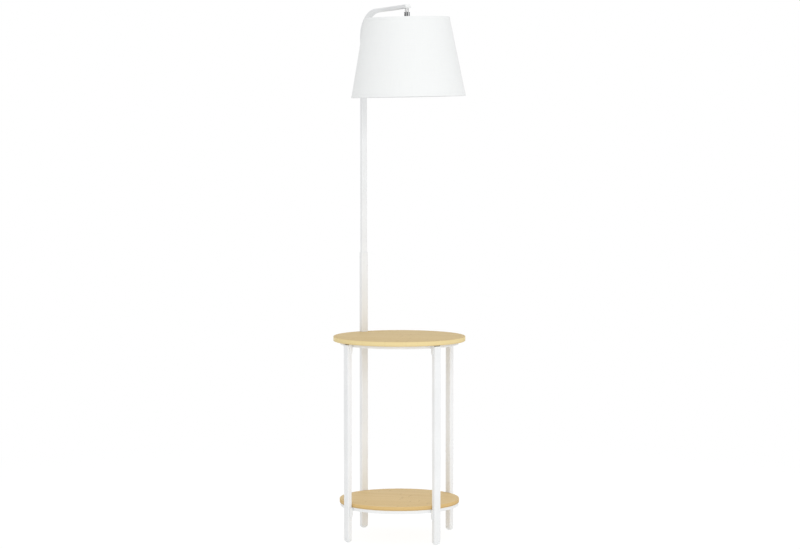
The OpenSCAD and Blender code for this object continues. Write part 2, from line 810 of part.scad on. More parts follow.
module swivel_cup() {
    color(chrome)
    hung()
    difference() {
        rotate_extrude()
        polygon([
            [nipple_r + run_gap, -cup_drop],
            [cup_r - cup_chamfer, -cup_drop],
            [cup_r, -cup_drop + cup_chamfer],
            [cup_r, cup_rim],
            [cup_inner_r, cup_rim],
            [cup_inner_r, -cup_drop + cup_floor],
            [nipple_r + run_gap, -cup_drop + cup_floor]
        ]);
        rotate([90, 0, 0]) cylinder(r = pin_r + run_gap, h = 2 * cup_r + 2, center = true);
    }
}

module swivel_nipple() {
    color(zinc)
    hung()
    difference() {
        union() {
            translate([0, 0, nipple_head_z]) cylinder(r = nipple_head_r, h = nipple_head_t);
            translate([0, 0, -cup_drop - nipple_len])
                cylinder(r = nipple_r, h = nipple_len + cup_floor + end_play + eps);
        }
        translate([0, 0, -cup_drop - nipple_len - 1])
            cylinder(r = nipple_bore_r, h = nipple_len + cup_floor + end_play + nipple_head_t + 2);
    }
}

module nipple_nut() {
    color(zinc)
    hung() translate([0, 0, cap_top - cap_wall - nipple_nut_t])
    difference() {
        cylinder(r = nipple_nut_r, h = nipple_nut_t, $fn = 6);
        translate([0, 0, -1]) cylinder(r = nipple_r + run_gap, h = nipple_nut_t + 2);
    }
}

// ---- Lamp holder ----

module holder_cap() {
    neck_r = cap_r * 0.48;
    shoulder_side = cap_top - cap_dome;
    color(white_plastic)
    hung()
    rotate_extrude()
    polygon([
        [nipple_r + run_gap, cap_top],
        [neck_r, cap_top],
        [cap_r * 0.7, cap_top - cap_dome * 0.12],
        [cap_r * 0.88, cap_top - cap_dome * 0.36],
        [cap_r * 0.97, cap_top - cap_dome * 0.66],
        [cap_r, shoulder_side],
        [cap_r, cap_bottom],
        [cap_r - cap_wall, cap_bottom],
        [cap_r - cap_wall, shoulder_side],
        [cap_r * 0.97 - cap_wall, cap_top - cap_dome * 0.7],
        [cap_r * 0.88 - cap_wall, cap_top - cap_dome * 0.44],
        [cap_r * 0.7 - cap_wall * 0.6, cap_top - cap_dome * 0.12 - cap_wall],
        [neck_r, cap_top - cap_wall],
        [nipple_r + run_gap, cap_top - cap_wall]
    ]);
}

module holder_body() {
    plug_r = cap_r - cap_wall - body_gap;
    color(white_plastic)
    hung()
    difference() {
        union() {
            translate([0, 0, cap_bottom]) cylinder(r = plug_r, h = body_top - cap_bottom);
            translate([0, 0, shoulder_z]) cylinder(r = shoulder_r, h = shoulder_t);
            translate([0, 0, skirt_end]) cylinder(r = skirt_r, h = skirt_len);
        }
        translate([0, 0, skirt_end - 1]) cylinder(r = shell_r + run_gap, h = shell_top - skirt_end + 1);
    }
}

module holder_screw_shell() {
    color(brass)
    hung() translate([0, 0, skirt_end + shell_in])
    difference() {
        cylinder(r = shell_r, h = shell_top - skirt_end - shell_in);
        translate([0, 0, -1]) cylinder(r = shell_r - shell_wall, h = shell_top - skirt_end);
    }
}

// A brass spring leaf that presses on the bulb's tip
module holder_centre_contact() {
    color(brass)
    hung() {
        translate([-contact_len / 2, -contact_w / 2, shell_top - contact_t])
            cube([contact_len, contact_w, contact_t]);
        translate([0, 0, tip_top + contact_gap])
            cylinder(r = contact_r, h = shell_top - contact_t / 2 - tip_top - contact_gap);
    }
}

module lamp_lead() {
    color(white_plastic)
    hung() translate([0, 0, body_top]) cylinder(r = lead_r, h = -lead_split / 2 - body_top);
}

module collar_ring() {
    color(white_plastic)
    hung() translate([0, 0, fitter_bottom - collar_h])
    difference() {
        union() {
            translate([0, 0, collar_h - collar_flange]) cylinder(r = collar_r, h = collar_flange);
            cylinder(r = skirt_r + collar_wall, h = collar_h);
        }
        translate([0, 0, -1]) cylinder(r = skirt_r + run_gap, h = collar_h + 2);
    }
}

// ---- Bulb ----

module bulb_outline(inset) {
    neck_top = bulb_base_end + bulb_neck_in + (inset > 0 ? 1 : 0);
    intersection() {
        union() {
            translate([0, globe_z]) circle(bulb_r - inset);
            polygon([
                [0, globe_z],
                [bulb_r * 0.9 - inset, globe_z + bulb_r * 0.42],
                [bulb_neck_r + 3.5 - inset, skirt_end - 6],
                [bulb_neck_r - inset, skirt_end - 0.5],
                [bulb_neck_r - inset, neck_top],
                [0, neck_top]
            ]);
        }
        translate([0, globe_z - bulb_r]) square([bulb_r, neck_top - globe_z + bulb_r]);
    }
}

module bulb_glass() {
    color([0.97, 0.97, 0.94, 0.6])
    hung()
    rotate_extrude()
    difference() {
        bulb_outline(0);
        bulb_outline(bulb_wall);
    }
}

module bulb_base() {
    color(brass)
    hung()
    difference() {
        translate([0, 0, bulb_base_end]) cylinder(r = bulb_base_r, h = bulb_base_top - bulb_base_end);
        translate([0, 0, bulb_base_end - 1])
            cylinder(r = bulb_base_r - bulb_cap_wall, h = bulb_base_top - bulb_base_end - bulb_cap_wall + 1);
    }
}

module bulb_tip() {
    color(zinc)
    hung() translate([0, 0, bulb_base_top]) cylinder(r1 = tip_r, r2 = tip_end_r, h = tip_h);
}

// ---- Shade ----

// A wire with the given ring radius and height
module wire_ring(r, z) {
    translate([0, 0, z]) rotate_extrude() translate([r, 0]) circle(wire_r);
}

module shade_spider() {
    inner = shoulder_r + spider_in;
    ring = wire_ring_r(top_wire_z);
    arm_z = fitter_top + wire_r * 0.6;
    arm_run = ring - inner;
    arm_up = top_wire_z - arm_z;
    color(white_paint)
    hung() {
        difference() {
            translate([0, 0, fitter_bottom]) cylinder(r = fitter_r, h = fitter_t);
            translate([0, 0, fitter_bottom - 1]) cylinder(r = skirt_r + fitter_gap, h = fitter_t + 2);
        }
        wire_ring(ring, top_wire_z);
        for (i = [0 : spider_arms - 1])
            rotate([0, 0, i * 360 / spider_arms])
            translate([inner, 0, arm_z])
            rotate([0, 90 - atan(arm_up / arm_run), 0])
            cylinder(r = wire_r, h = norm([arm_run, arm_up]));
    }
}

module shade_bottom_wire() {
    color(white_paint)
    hung() wire_ring(wire_ring_r(bottom_wire_z), bottom_wire_z);
}

// The stiffened fabric, a plain cone wall between its two trims
module shade_cover() {
    top = shade_top - trim_inset;
    bottom = shade_bottom + trim_inset;
    color(linen)
    hung()
    rotate_extrude()
    polygon([
        [shade_r(top) - trim_inset, top],
        [shade_r(top) - trim_inset - cover_t, top],
        [shade_r(bottom) - trim_inset - cover_t, bottom],
        [shade_r(bottom) - trim_inset, bottom]
    ]);
}

// A tape folded over an edge of the cover: edge is the rim's height, up is +1 at the top
module shade_trim(edge, up) {
    lap = edge - up * trim_h;
    fold = edge - up * trim_t;
    inner = trim_inset + cover_t + cloth_gap;
    color(linen)
    hung()
    rotate_extrude()
    polygon([
        [shade_r(edge), edge],
        [shade_r(lap), lap],
        [shade_r(lap) - trim_t, lap],
        [shade_r(fold) - trim_t, fold],
        [shade_r(fold) - inner, fold],
        [shade_r(edge) - inner, edge]
    ]);
}

// ---- Nodes ----

table_top();
shelf();
ring(top_under);  // top_ring
ring(shelf_under);  // shelf_ring
leg(front_left);  // leg_front_left
leg(front_right);  // leg_front_right
leg(back_right);  // leg_back_right
pole_lower();
pole_upper();
leg_plug(front_left);  // plug_front_left
leg_plug(front_right);  // plug_front_right
leg_plug(back_right);  // plug_back_right
arm_end_plug();
foot(front_left);  // foot_front_left
foot(front_right);  // foot_front_right
foot(back_right);  // foot_back_right
foot(back_left);  // foot_back_left
saddle(front_left, top_under);  // top_saddle_front_left
saddle(front_right, top_under);  // top_saddle_front_right
saddle(back_right, top_under);  // top_saddle_back_right
saddle(back_left, top_under);  // top_saddle_back_left
saddle(front_left, shelf_under);  // shelf_saddle_front_left
saddle(front_right, shelf_under);  // shelf_saddle_front_right
saddle(back_right, shelf_under);  // shelf_saddle_back_right
saddle(back_left, shelf_under);  // shelf_saddle_back_left
leg_screws(top_under);  // top_leg_screws
leg_screws(shelf_under);  // shelf_leg_screws
rivet_nuts(top_under);  // top_rivet_nuts
rivet_nuts(shelf_under);  // shelf_rivet_nuts
wood_screws(top_under);  // top_wood_screws
wood_screws(shelf_under);  // shelf_wood_screws
pole_lock_screw();
pole_weld_nut();
cable_grommet();
inner_lead();
hanger();
swivel_cup();
swivel_nipple();
nipple_nut();
holder_cap();
holder_body();
holder_screw_shell();
holder_centre_contact();
lamp_lead();
collar_ring();
bulb_glass();
bulb_base();
bulb_tip();
shade_spider();
shade_bottom_wire();
shade_cover();
shade_trim(shade_top, 1);  // shade_top_trim
shade_trim(shade_bottom, -1);  // shade_bottom_trim
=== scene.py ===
"""The looks of a slim white floor lamp that carries a round bamboo table top and a round shelf.

Sizes are in millimetres, as on the real object, and become metres when a mesh is written. A place is a
4x4 matrix. Surfaces are worked out as whole arrays: a profile turned about an axis, or an outline carried
along a path.
"""
import logging
import math
from dataclasses import dataclass, field
from enum import Enum
from typing import Protocol, Sequence, Union

import bpy
import numpy as np
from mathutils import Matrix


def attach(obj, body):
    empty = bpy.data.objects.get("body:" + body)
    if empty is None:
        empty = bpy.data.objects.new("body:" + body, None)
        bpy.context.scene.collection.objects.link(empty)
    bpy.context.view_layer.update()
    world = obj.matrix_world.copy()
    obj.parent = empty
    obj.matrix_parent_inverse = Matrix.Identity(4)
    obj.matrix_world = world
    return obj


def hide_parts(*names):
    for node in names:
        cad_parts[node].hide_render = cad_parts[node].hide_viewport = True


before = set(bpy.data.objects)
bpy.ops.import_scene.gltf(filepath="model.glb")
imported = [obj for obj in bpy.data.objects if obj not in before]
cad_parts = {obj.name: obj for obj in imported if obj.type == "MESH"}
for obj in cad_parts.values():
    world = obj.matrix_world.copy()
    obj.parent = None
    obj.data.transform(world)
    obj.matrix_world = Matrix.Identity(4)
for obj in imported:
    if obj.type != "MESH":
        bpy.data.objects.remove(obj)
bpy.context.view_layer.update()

LOG = logging.getLogger("lamp_with_table")
Array = np.ndarray
Socket = bpy.types.NodeSocket
Value = Union[float, Socket]
MM = 0.001
TAU = 2 * math.pi


class Body(Enum):
    """The bodies that pieces move with."""

    ROOT = "root"
    LAMP = "lamp"


class Slot(Enum):
    """The record's material slots."""

    BAMBOO = "bamboo"
    PAINT = "white_paint"
    PLASTIC = "white_plastic"
    HOLDER = "holder_plastic"
    SHEATH = "lead_sheath"
    CHROME = "polished_steel"
    BRASS = "brass"
    ZINC = "zinc"
    GLASS = "bulb_glass"
    FABRIC = "shade_fabric"
    TAPE = "shade_tape"


class Axis(Enum):
    """An axis to turn about, and the two others in the order that a turn takes one to the next."""

    X = (1, 2)
    Y = (2, 0)
    Z = (0, 1)


class Ends(Enum):
    """How rows of closed outlines end: back in the first row, in a flat face, or in a fan to the middle."""

    LOOP = 0
    FLAT = 1
    FAN = 2


# ---- Places and surfaces ----


def shift(x: float = 0.0, y: float = 0.0, z: float = 0.0) -> Array:
    """A place moved along the axes.

    Args:
        x: How far along X.
        y: How far along Y.
        z: How far along Z.

    Returns:
        The place.
    """
    place = np.eye(4)
    place[:3, 3] = x, y, z
    return place


def turn(axis: Axis, degrees: float) -> Array:
    """A place turned about an axis: the two other axes mix by the angle's cosine and sine.

    Args:
        axis: The axis to turn about.
        degrees: The angle, by the right-hand rule.

    Returns:
        The place.
    """
    first, second = axis.value
    cosine, sine = math.cos(math.radians(degrees)), math.sin(math.radians(degrees))
    place = np.eye(4)
    place[first, first] = place[second, second] = cosine
    place[second, first], place[first, second] = sine, -sine
    return place


def smooth_step(values: Array, start: float, stop: float) -> Array:
    """0 before start, 1 after stop, and 3t^2 - 2t^3 between them."""
    share = np.clip((values - start) / (stop - start), 0, 1)
    return share * share * (3 - 2 * share)


def round_angles(count: int) -> Array:
    """The angles of equal steps once round."""
    return np.arange(count) * TAU / count


def unit(angle: Array) -> Array:
    """Each angle's cosine and sine."""
    return np.stack([np.cos(angle), np.sin(angle)], -1)


def round_edge(steps: int) -> tuple[Array, Array]:
    """How a round edge goes on and draws in: the sine, and 1 less the cosine, over a quarter circle."""
    swing = np.linspace(0, TAU / 4, steps)
    return np.sin(swing), 1 - np.cos(swing)


def round_corners(steps: int) -> tuple[Array, Array, Array]:
    """The corners of a rounded rectangle, over the points of its outline.

    Args:
        steps: How many points a corner has.

    Returns:
        Each point's angle about its corner's centre, and the corner's side along each axis, -1 or 1.
    """
    corner = np.repeat(np.arange(4), steps)
    angle = corner * TAU / 4 + np.tile(np.linspace(0, TAU / 4, steps), 4)
    return angle, np.array([1, -1, -1, 1])[corner], np.array([1, 1, -1, -1])[corner]


def headings(path: Array) -> Array:
    """The unit direction at each point of a path, from its neighbours' difference."""
    forward = np.gradient(path, axis=0)
    return forward / np.linalg.norm(forward, axis=1, keepdims=True)


@dataclass
class Shell:
    """A closed surface: its points, and its faces as arrays of point numbers."""

    points: Array
    faces: list[Array]

    def moved(self, place: Array) -> "Shell":
        """The same surface at another place."""
        return Shell(self.points @ place[:3, :3].T + place[:3, 3], self.faces)

    def outward(self) -> "Shell":
        """Turns the faces outwards: the signed volume is the sum of p0 . (p1 x p2) over each face's fan.

        Returns:
            The surface itself.
        """
        centred = self.points - self.points.mean(0)
        volume = 0.0
        for faces in self.faces:
            corners = centred[faces]
            cross = np.cross(corners[:, 1:-1], corners[:, 2:])
            volume += float((corners[:, :1] * cross).sum())
        if volume < 0:
            self.faces = [faces[:, ::-1] for faces in self.faces]
        return self


def carried(points: Array, ends: Ends) -> Shell:
    """A closed surface over rows of closed outlines.

    Args:
        points: An array of rows x columns x 3, where each row is an outline that closes on itself.
        ends: What closes the first and last rows.

    Returns:
        The surface, with quads between neighbours and faces that point outwards.
    """
    rows, cols = points.shape[:2]
    row = np.arange(rows if ends is Ends.LOOP else rows - 1)[:, None]
    col = np.arange(cols)[None, :]
    below, beside = (row + 1) % rows, (col + 1) % cols
    grid = [row * cols + col, row * cols + beside, below * cols + beside, below * cols + col]
    faces = [np.stack(grid, -1).reshape(-1, 4)]
    flat = points.reshape(-1, 3)
    first, last = np.arange(cols), (rows - 1) * cols + np.arange(cols)
    if ends is Ends.FLAT:
        faces += [first[None, ::-1], last[None, :]]
    if ends is Ends.FAN:
        flat = np.concatenate([flat, [points[0].mean(0), points[-1].mean(0)]])
        start, stop = np.full(cols, rows * cols), np.full(cols, rows * cols + 1)
        faces.append(np.stack([np.roll(first, -1), first, start], -1))
        faces.append(np.stack([last, np.roll(last, -1), stop], -1))
    return Shell(flat, faces).outward()


def lathe(profile: Array, sides: int, ends: Ends = Ends.LOOP, swell: Array = np.zeros(1),
          lift: Array = np.zeros(1)) -> Shell:
    """Turns a profile about Z: x = (r + swell) cos a, y = (r + swell) sin a, z = height + lift.

    Args:
        profile: Points of (radius, height).
        sides: How many steps go round.
        ends: LOOP for a closed profile, FAN for one that runs from the axis to the axis.
        swell: What is added to the radius, for each profile point and angle.
        lift: What is added to the height, for each profile point and angle.

    Returns:
        The surface.
    """
    angle = round_angles(sides)
    radius = profile[:, :1] + swell
    height = profile[:, 1:2] + lift + 0 * angle
    return carried(np.stack([radius * np.cos(angle), radius * np.sin(angle), height], -1), ends)


def bead(radius: float, half_height: float, rows: int, sides: int) -> Shell:
    """A drop of weld: half an ellipse, x = radius cos a and z = half height sin a, turned about Z.

    Args:
        radius: How far it reaches from its axis.
        half_height: How far it reaches up and down.
        rows: How many rows of points it has.
        sides: How many steps go round.

    Returns:
        The surface.
    """
    swing = np.linspace(-0.5, 0.5, rows + 2)[1:-1] * math.pi
    return lathe(np.array([radius, half_height]) * unit(swing), sides, Ends.FAN)


def rounded(corners: Sequence[Sequence[float]], radii: Union[float, Sequence[float]], steps: int = 5,
            closed: bool = True) -> Array:
    """An outline with rounded corners: each corner's arc swings from one side's tangent point to the other's.

    Args:
        corners: The sharp corners, in two or three dimensions.
        radii: One radius, or one for each corner.
        steps: How many points an arc has.
        closed: False for an open line, whose two ends stay as they are.

    Returns:
        The points of the outline.
    """
    point = np.asarray(corners, float)
    radius = np.broadcast_to(np.asarray(radii, float), len(point))[:, None]
    before, after = np.roll(point, 1, 0) - point, np.roll(point, -1, 0) - point
    before /= np.linalg.norm(before, axis=1, keepdims=True)
    after /= np.linalg.norm(after, axis=1, keepdims=True)
    half = np.arccos(np.clip((before * after).sum(1, keepdims=True), -1, 1)) / 2
    middle = before + after
    middle /= np.maximum(np.linalg.norm(middle, axis=1, keepdims=True), 1e-9)
    centre = point + middle * radius / np.sin(half)
    start = (point + before * radius / np.tan(half) - centre)[:, None]
    stop = (point + after * radius / np.tan(half) - centre)[:, None]
    swing = np.maximum(math.pi - 2 * half, 1e-6)[:, None]
    share = np.linspace(0, 1, steps)[None, :, None]
    arcs = np.sin((1 - share) * swing) * start + np.sin(share * swing) * stop
    arcs = centre[:, None] + arcs / np.sin(swing)
    if closed:
        return arcs.reshape(-1, point.shape[1])
    return np.concatenate([point[:1], arcs[1:-1].reshape(-1, point.shape[1]), point[-1:]])


def evenly(path: Array, count: int) -> Array:
    """The same line with points at equal steps of its length, by linear interpolation.

    Args:
        path: The line's points.
        count: How many points the new line has.

    Returns:
        The new points.
    """
    along = np.concatenate([[0], np.cumsum(np.linalg.norm(np.diff(path, axis=0), axis=1))])
    steps = np.linspace(0, along[-1], count)
    return np.stack([np.interp(steps, along, column) for column in path.T], -1)


def stacked(levels: Array, steps: int = 6) -> Shell:
    """Rounded rectangles, one above another, closed at both ends.

    Args:
        levels: Rows of (height, size along X, size along Y, corner radius).
        steps: How many points a corner has.

    Returns:
        The surface: each corner's centre plus its radius at 0 to 90 degrees from the quarter's start.
    """
    height, along_x, along_y, radius = (column[:, None] for column in levels.T)
    angle, side_x, side_y = round_corners(steps)
    x = side_x * (along_x / 2 - radius) + radius * np.cos(angle)
    y = side_y * (along_y / 2 - radius) + radius * np.sin(angle)
    return carried(np.stack([x, y, height + 0 * x], -1), Ends.FAN)


def wire(path: Array, radius: float, aside: Sequence[float], sides: int = 20) -> Shell:
    """A round wire with domed ends: circles square to the path, which shrink as the ends' quarter circles do.

    Args:
        path: The points of its middle line, which lies in one plane.
        radius: The wire's radius.
        aside: A direction square to that plane.
        sides: How many points a circle has.

    Returns:
        The surface.
    """
    forward = headings(path)
    rows, flatness = 5, 0.5
    swing = np.linspace(0.12, 1, rows) * TAU / 4
    dome, size = radius * flatness * np.cos(swing)[:, None], np.sin(swing)
    middle = np.concatenate([path[0] - dome * forward[0], path[1:-1], path[-1] + dome[::-1] * forward[-1]])
    scale = np.concatenate([size, np.ones(len(path) - 2), size[::-1]])
    heading = np.concatenate([np.repeat(forward[:1], rows, 0), forward[1:-1],
                              np.repeat(forward[-1:], rows, 0)])
    across = np.asarray(aside, float) / np.linalg.norm(aside)
    upward = np.cross(heading, across)
    cosine, sine = unit(round_angles(sides)).T[:, None, :, None]
    ring = cosine * across + sine * upward[:, None]
    return carried(middle[:, None] + radius * scale[:, None, None] * ring, Ends.FAN)


# ---- Finishes ----


class Tree:
    """A tree of nodes, with short methods that add a node and return its output."""

    def __init__(self, tree: bpy.types.NodeTree) -> None:
        """Takes the tree's nodes and links."""
        self.nodes, self.links = tree.nodes, tree.links

    def feed(self, value: Union[Value, Sequence[float]], socket: Socket) -> None:
        """Links an output to a socket, or sets the socket to a constant.

        Args:
            value: The output or the constant.
            socket: The socket that takes it.
        """
        if isinstance(value, bpy.types.NodeSocket):
            self.links.new(value, socket)
        else:
            socket.default_value = value

    def fed(self, kind: str, *values: Value, **settings: str) -> bpy.types.Node:
        """A new node whose first sockets take the values.

        Args:
            kind: The node's type.
            values: What its sockets take, in their order.
            settings: What its properties are.

        Returns:
            The node.
        """
        node = self.nodes.new(kind)
        for name, setting in settings.items():
            setattr(node, name, setting)
        for value, socket in zip(values, node.inputs):
            self.feed(value, socket)
        return node

    def calc(self, operation: str, *values: Value) -> Socket:
        """The result of a Math node."""
        return self.fed("ShaderNodeMath", *values, operation=operation).outputs[0]

    def mix(self, share: Socket, first: Socket, second: Socket) -> Socket:
        """Two shaders mixed by a share of the second."""
        return self.fed("ShaderNodeMixShader", share, first, second).outputs[0]

    def seen_rays(self) -> Socket:
        """1 for the camera's rays and for those that mirrors and glass show, and 0 for others.

        Returns:
            The greatest of the three kinds' outputs.
        """
        path = self.nodes.new("ShaderNodeLightPath")
        shown = self.calc("MAXIMUM", path.outputs["Is Camera Ray"], path.outputs["Is Glossy Ray"])
        return self.calc("MAXIMUM", shown, path.outputs["Is Transmission Ray"])


class Graph(Tree):
    """A material's nodes, about one Principled shader."""

    def __init__(self, name: str) -> None:
        """Starts a material that holds the shader.

        Args:
            name: The material's name.
        """
        self.material = bpy.data.materials.new(name)
        self.material.use_nodes = True
        super().__init__(self.material.node_tree)
        self.shader = self.nodes["Principled BSDF"]

    def set(self, **inputs: Union[Value, Sequence[float]]) -> None:
        """Sets or links the shader's sockets, whose names have _ for each space."""
        for name, value in inputs.items():
            self.feed(value, self.shader.inputs[name.replace("_", " ")])

    def step(self, value: Value, start: float, stop: float, low: float = 0.0, high: float = 1.0) -> Socket:
        """A value mapped smoothly from start..stop to low..high.

        Args:
            value: The value.
            start: Where it gives low.
            stop: Where it gives high.
            low: The result before start.
            high: The result after stop.

        Returns:
            The result.
        """
        return self.fed("ShaderNodeMapRange", value, start, stop, low, high,
                        interpolation_type="SMOOTHSTEP").outputs[0]

    def place(self) -> Socket:
        """Object coordinates, in metres."""
        return self.nodes.new("ShaderNodeTexCoord").outputs["Object"]

    def cloth_place(self) -> Socket:
        """The piece's own map.

        Returns:
            Metres along and across the cloth.
        """
        return self.fed("ShaderNodeUVMap", uv_map="cloth").outputs["UV"]

    def scaled(self, vector: Socket, scale: Sequence[float], turned: float = 0.0) -> Socket:
        """A vector scaled along each axis, then turned about Z.

        Args:
            vector: The vector.
            scale: The scale along each axis.
            turned: The turn in degrees.

        Returns:
            The new vector.
        """
        node = self.fed("ShaderNodeMapping", vector)
        self.feed(scale, node.inputs["Scale"])
        self.feed((0, 0, math.radians(turned)), node.inputs["Rotation"])
        return node.outputs[0]

    def parts(self, vector: Socket) -> list[Socket]:
        """A vector's X, Y and Z."""
        return list(self.fed("ShaderNodeSeparateXYZ", vector).outputs)

    def noise(self, vector: Socket, scale: float, detail: float = 2.0) -> Socket:
        """Soft noise, about 0.5.

        Args:
            vector: Where it is read.
            scale: Its waves in one unit of the vector.
            detail: How many finer waves lie on them.

        Returns:
            The noise.
        """
        node = self.fed("ShaderNodeTexNoise", vector)
        self.feed(scale, node.inputs["Scale"])
        self.feed(detail, node.inputs["Detail"])
        return node.outputs["Fac"]

    def chance(self, value: Value) -> Socket:
        """A random number from 0 to 1 for each value.

        Args:
            value: The value.

        Returns:
            The number.
        """
        node = self.fed("ShaderNodeTexWhiteNoise", noise_dimensions="1D")
        self.feed(value, node.inputs["W"])
        return node.outputs["Value"]

    def blend(self, share: Value, first: Union[Socket, Sequence[float]],
              second: Union[Socket, Sequence[float]]) -> Socket:
        """A colour between two colours.

        Args:
            share: How much of the second colour it has.
            first: The first colour.
            second: The second colour.

        Returns:
            The colour.
        """
        node = self.fed("ShaderNodeMix", data_type="RGBA")
        self.feed(share, node.inputs["Factor"])
        for colour, socket in ((first, node.inputs[6]), (second, node.inputs[7])):
            self.feed(colour if isinstance(colour, bpy.types.NodeSocket) else (*colour, 1), socket)
        return node.outputs[2]

    def bump(self, height: Socket, depth: float, strength: float = 1.0) -> None:
        """Lets the surface's normal follow a height.

        Args:
            height: The height, from 0 to 1.
            depth: How high 1 is, in millimetres.
            strength: The share of the relief that shows.
        """
        node = self.nodes.new("ShaderNodeBump")
        for name, value in (("Strength", strength), ("Distance", depth * MM), ("Height", height)):
            self.feed(value, node.inputs[name])
        self.feed(node.outputs[0], self.shader.inputs["Normal"])


Colour = tuple[float, float, float]


class Finish(Protocol):
    """Whatever builds a material."""

    def material(self) -> bpy.types.Material:
        """Builds it."""


@dataclass(frozen=True)
class Paint:
    """White powder coat on steel: an even coat with a fine orange peel and hardly any tint."""

    colour: Colour = (0.84, 0.85, 0.855)
    shade: Colour = (0.81, 0.82, 0.825)
    peel: float = 0.012

    def material(self) -> bpy.types.Material:
        """Builds it.

        Returns:
            The material.
        """
        graph = Graph("white_powder_coat")
        place = graph.place()
        cloud = graph.step(graph.noise(place, 9.0), 0.35, 0.65)
        graph.set(Base_Color=graph.blend(cloud, self.colour, self.shade), IOR=1.45,
                  Roughness=graph.step(graph.noise(place, 140.0), 0.3, 0.7, 0.36, 0.44))
        graph.bump(graph.noise(place, 900.0, 1.0), self.peel)
        return graph.material


@dataclass(frozen=True)
class Bamboo:
    """Laminated bamboo under a satin lacquer: strips with fibres and growth nodes, and an edge in painted
    light and shade.
    """

    name: str
    top_z: float
    thickness: float
    pale: Colour = (0.72, 0.555, 0.295)
    deep: Colour = (0.645, 0.48, 0.232)
    # The two edge colours hold painted light and shade: the first for the light on the edge's face, the
    # second for the shade towards the underside.
    edge: Colour = (0.80, 0.655, 0.345)
    edge_shade_and_streak: Colour = (0.74, 0.585, 0.29)
    fibre: Colour = (0.40, 0.26, 0.115)
    strip: float = 19.0
    joint: float = 0.35
    node_step: float = 260.0
    node_width: float = 5.0
    grain_turn: float = 6.0
    edge_start: float = 1.3
    tone_share: float = 0.45
    streak_share: float = 0.4
    edge_tone_share: float = 0.45
    fibre_share: float = 0.34
    node_share: float = 0.3
    joint_share: float = 0.35
    edge_calm: float = 0.8

    def material(self) -> bpy.types.Material:
        """Builds it: a strip's number picks its tone and where its growth nodes lie.

        The edge takes painted light in place of the faces' tones where the height is more than the edge's
        roundness below the top or above the underside, so its rims keep the faces' tone. Towards the
        underside it turns to the deeper edge colour, as painted shade, mixed with the random streaks.

        Returns:
            The material.
        """
        graph = Graph(self.name)
        place = graph.scaled(graph.place(), (1000, 1000, 1000), self.grain_turn)
        along, across, height = graph.parts(place)
        row = graph.calc("DIVIDE", across, self.strip)
        number = graph.calc("FLOOR", row)
        tone = graph.chance(number)
        start = graph.calc("MULTIPLY", graph.chance(graph.calc("ADD", number, 0.37)), self.node_step)
        length = graph.calc("DIVIDE", graph.calc("ADD", along, start), self.node_step)
        off_node = graph.calc("PINGPONG", length, 0.5)
        node_half = self.node_width / self.node_step / 2
        node = graph.step(off_node, node_half * 0.4, node_half, 1.0, 0.0)
        fibres = graph.noise(graph.scaled(place, (0.012, 1.6, 1.6)), 1.0, 3.0)
        streaks = graph.noise(graph.scaled(place, (0.004, 0.35, 0.35)), 1.0, 2.0)
        beside = graph.calc("MULTIPLY", graph.calc("PINGPONG", row, 0.5), self.strip)
        gap = graph.step(beside, self.joint * 0.4, self.joint, 1.0, 0.0)
        share = graph.calc("ADD", graph.calc("MULTIPLY", tone, self.tone_share),
                           graph.step(streaks, 0.35, 0.7, 0.0, self.streak_share))
        below = graph.calc("SUBTRACT", self.top_z, height)
        on_edge = graph.calc("MULTIPLY", graph.step(below, 0.3, self.edge_start),
                             graph.step(below, self.thickness - self.edge_start, self.thickness, 1.0, 0.0))
        # Painted shade: the edge's lower part turns to the deeper edge colour, and on_edge swaps the faces'
        # tone for the edge's painted light.
        low = graph.step(below, self.thickness * 0.55, self.thickness * 0.9)
        wood = graph.blend(on_edge, graph.blend(share, self.pale, self.deep),
                           graph.blend(graph.calc("MAXIMUM", low,
                                                  graph.calc("MULTIPLY", share, self.edge_tone_share)),
                                       self.edge, self.edge_shade_and_streak))
        faint = graph.calc("MULTIPLY_ADD", on_edge, -self.edge_calm, 1.0)
        dark = graph.calc("MAXIMUM", graph.step(fibres, 0.55, 0.78, 0.0, self.fibre_share),
                          graph.calc("MAXIMUM", graph.calc("MULTIPLY", node, self.node_share),
                                     graph.calc("MULTIPLY", gap, self.joint_share)))
        graph.set(Base_Color=graph.blend(graph.calc("MULTIPLY", dark, faint), wood, self.fibre),
                  IOR=1.42, Specular_IOR_Level=0.12, Roughness=graph.step(fibres, 0.3, 0.7, 0.52, 0.62))
        graph.bump(graph.calc("SUBTRACT", fibres, graph.calc("MULTIPLY", gap, 0.6)), 0.02)
        return graph.material


@dataclass(frozen=True)
class Plastic:
    """Moulded plastic with a fine satin texture and a slight change of tone."""

    name: str
    colour: Colour
    roughness: float = 0.38
    texture: float = 0.01

    def material(self) -> bpy.types.Material:
        """Builds it.

        Returns:
            The material.
        """
        graph = Graph(self.name)
        place = graph.place()
        dull = tuple(part * 0.95 for part in self.colour)
        graph.set(Base_Color=graph.blend(graph.noise(place, 30.0), self.colour, dull), IOR=1.49,
                  Roughness=graph.step(graph.noise(place, 300.0), 0.3, 0.7, self.roughness - 0.05,
                                       self.roughness + 0.05))
        graph.bump(graph.noise(place, 1500.0, 1.0), self.texture)
        return graph.material


@dataclass(frozen=True)
class Metal:
    """Bare or plated metal with faint marks in its gloss."""

    name: str
    colour: Colour
    roughness: float
    marks: float = 0.05

    def material(self) -> bpy.types.Material:
        """Builds it.

        Returns:
            The material.
        """
        graph = Graph(self.name)
        place = graph.place()
        marked = graph.step(graph.noise(place, 420.0, 4.0), 0.35, 0.7, self.roughness,
                            self.roughness + self.marks)
        worn = tuple(part * 0.9 for part in self.colour)
        graph.set(Base_Color=graph.blend(graph.noise(place, 90.0), self.colour, worn), Metallic=1.0,
                  Roughness=marked)
        return graph.material


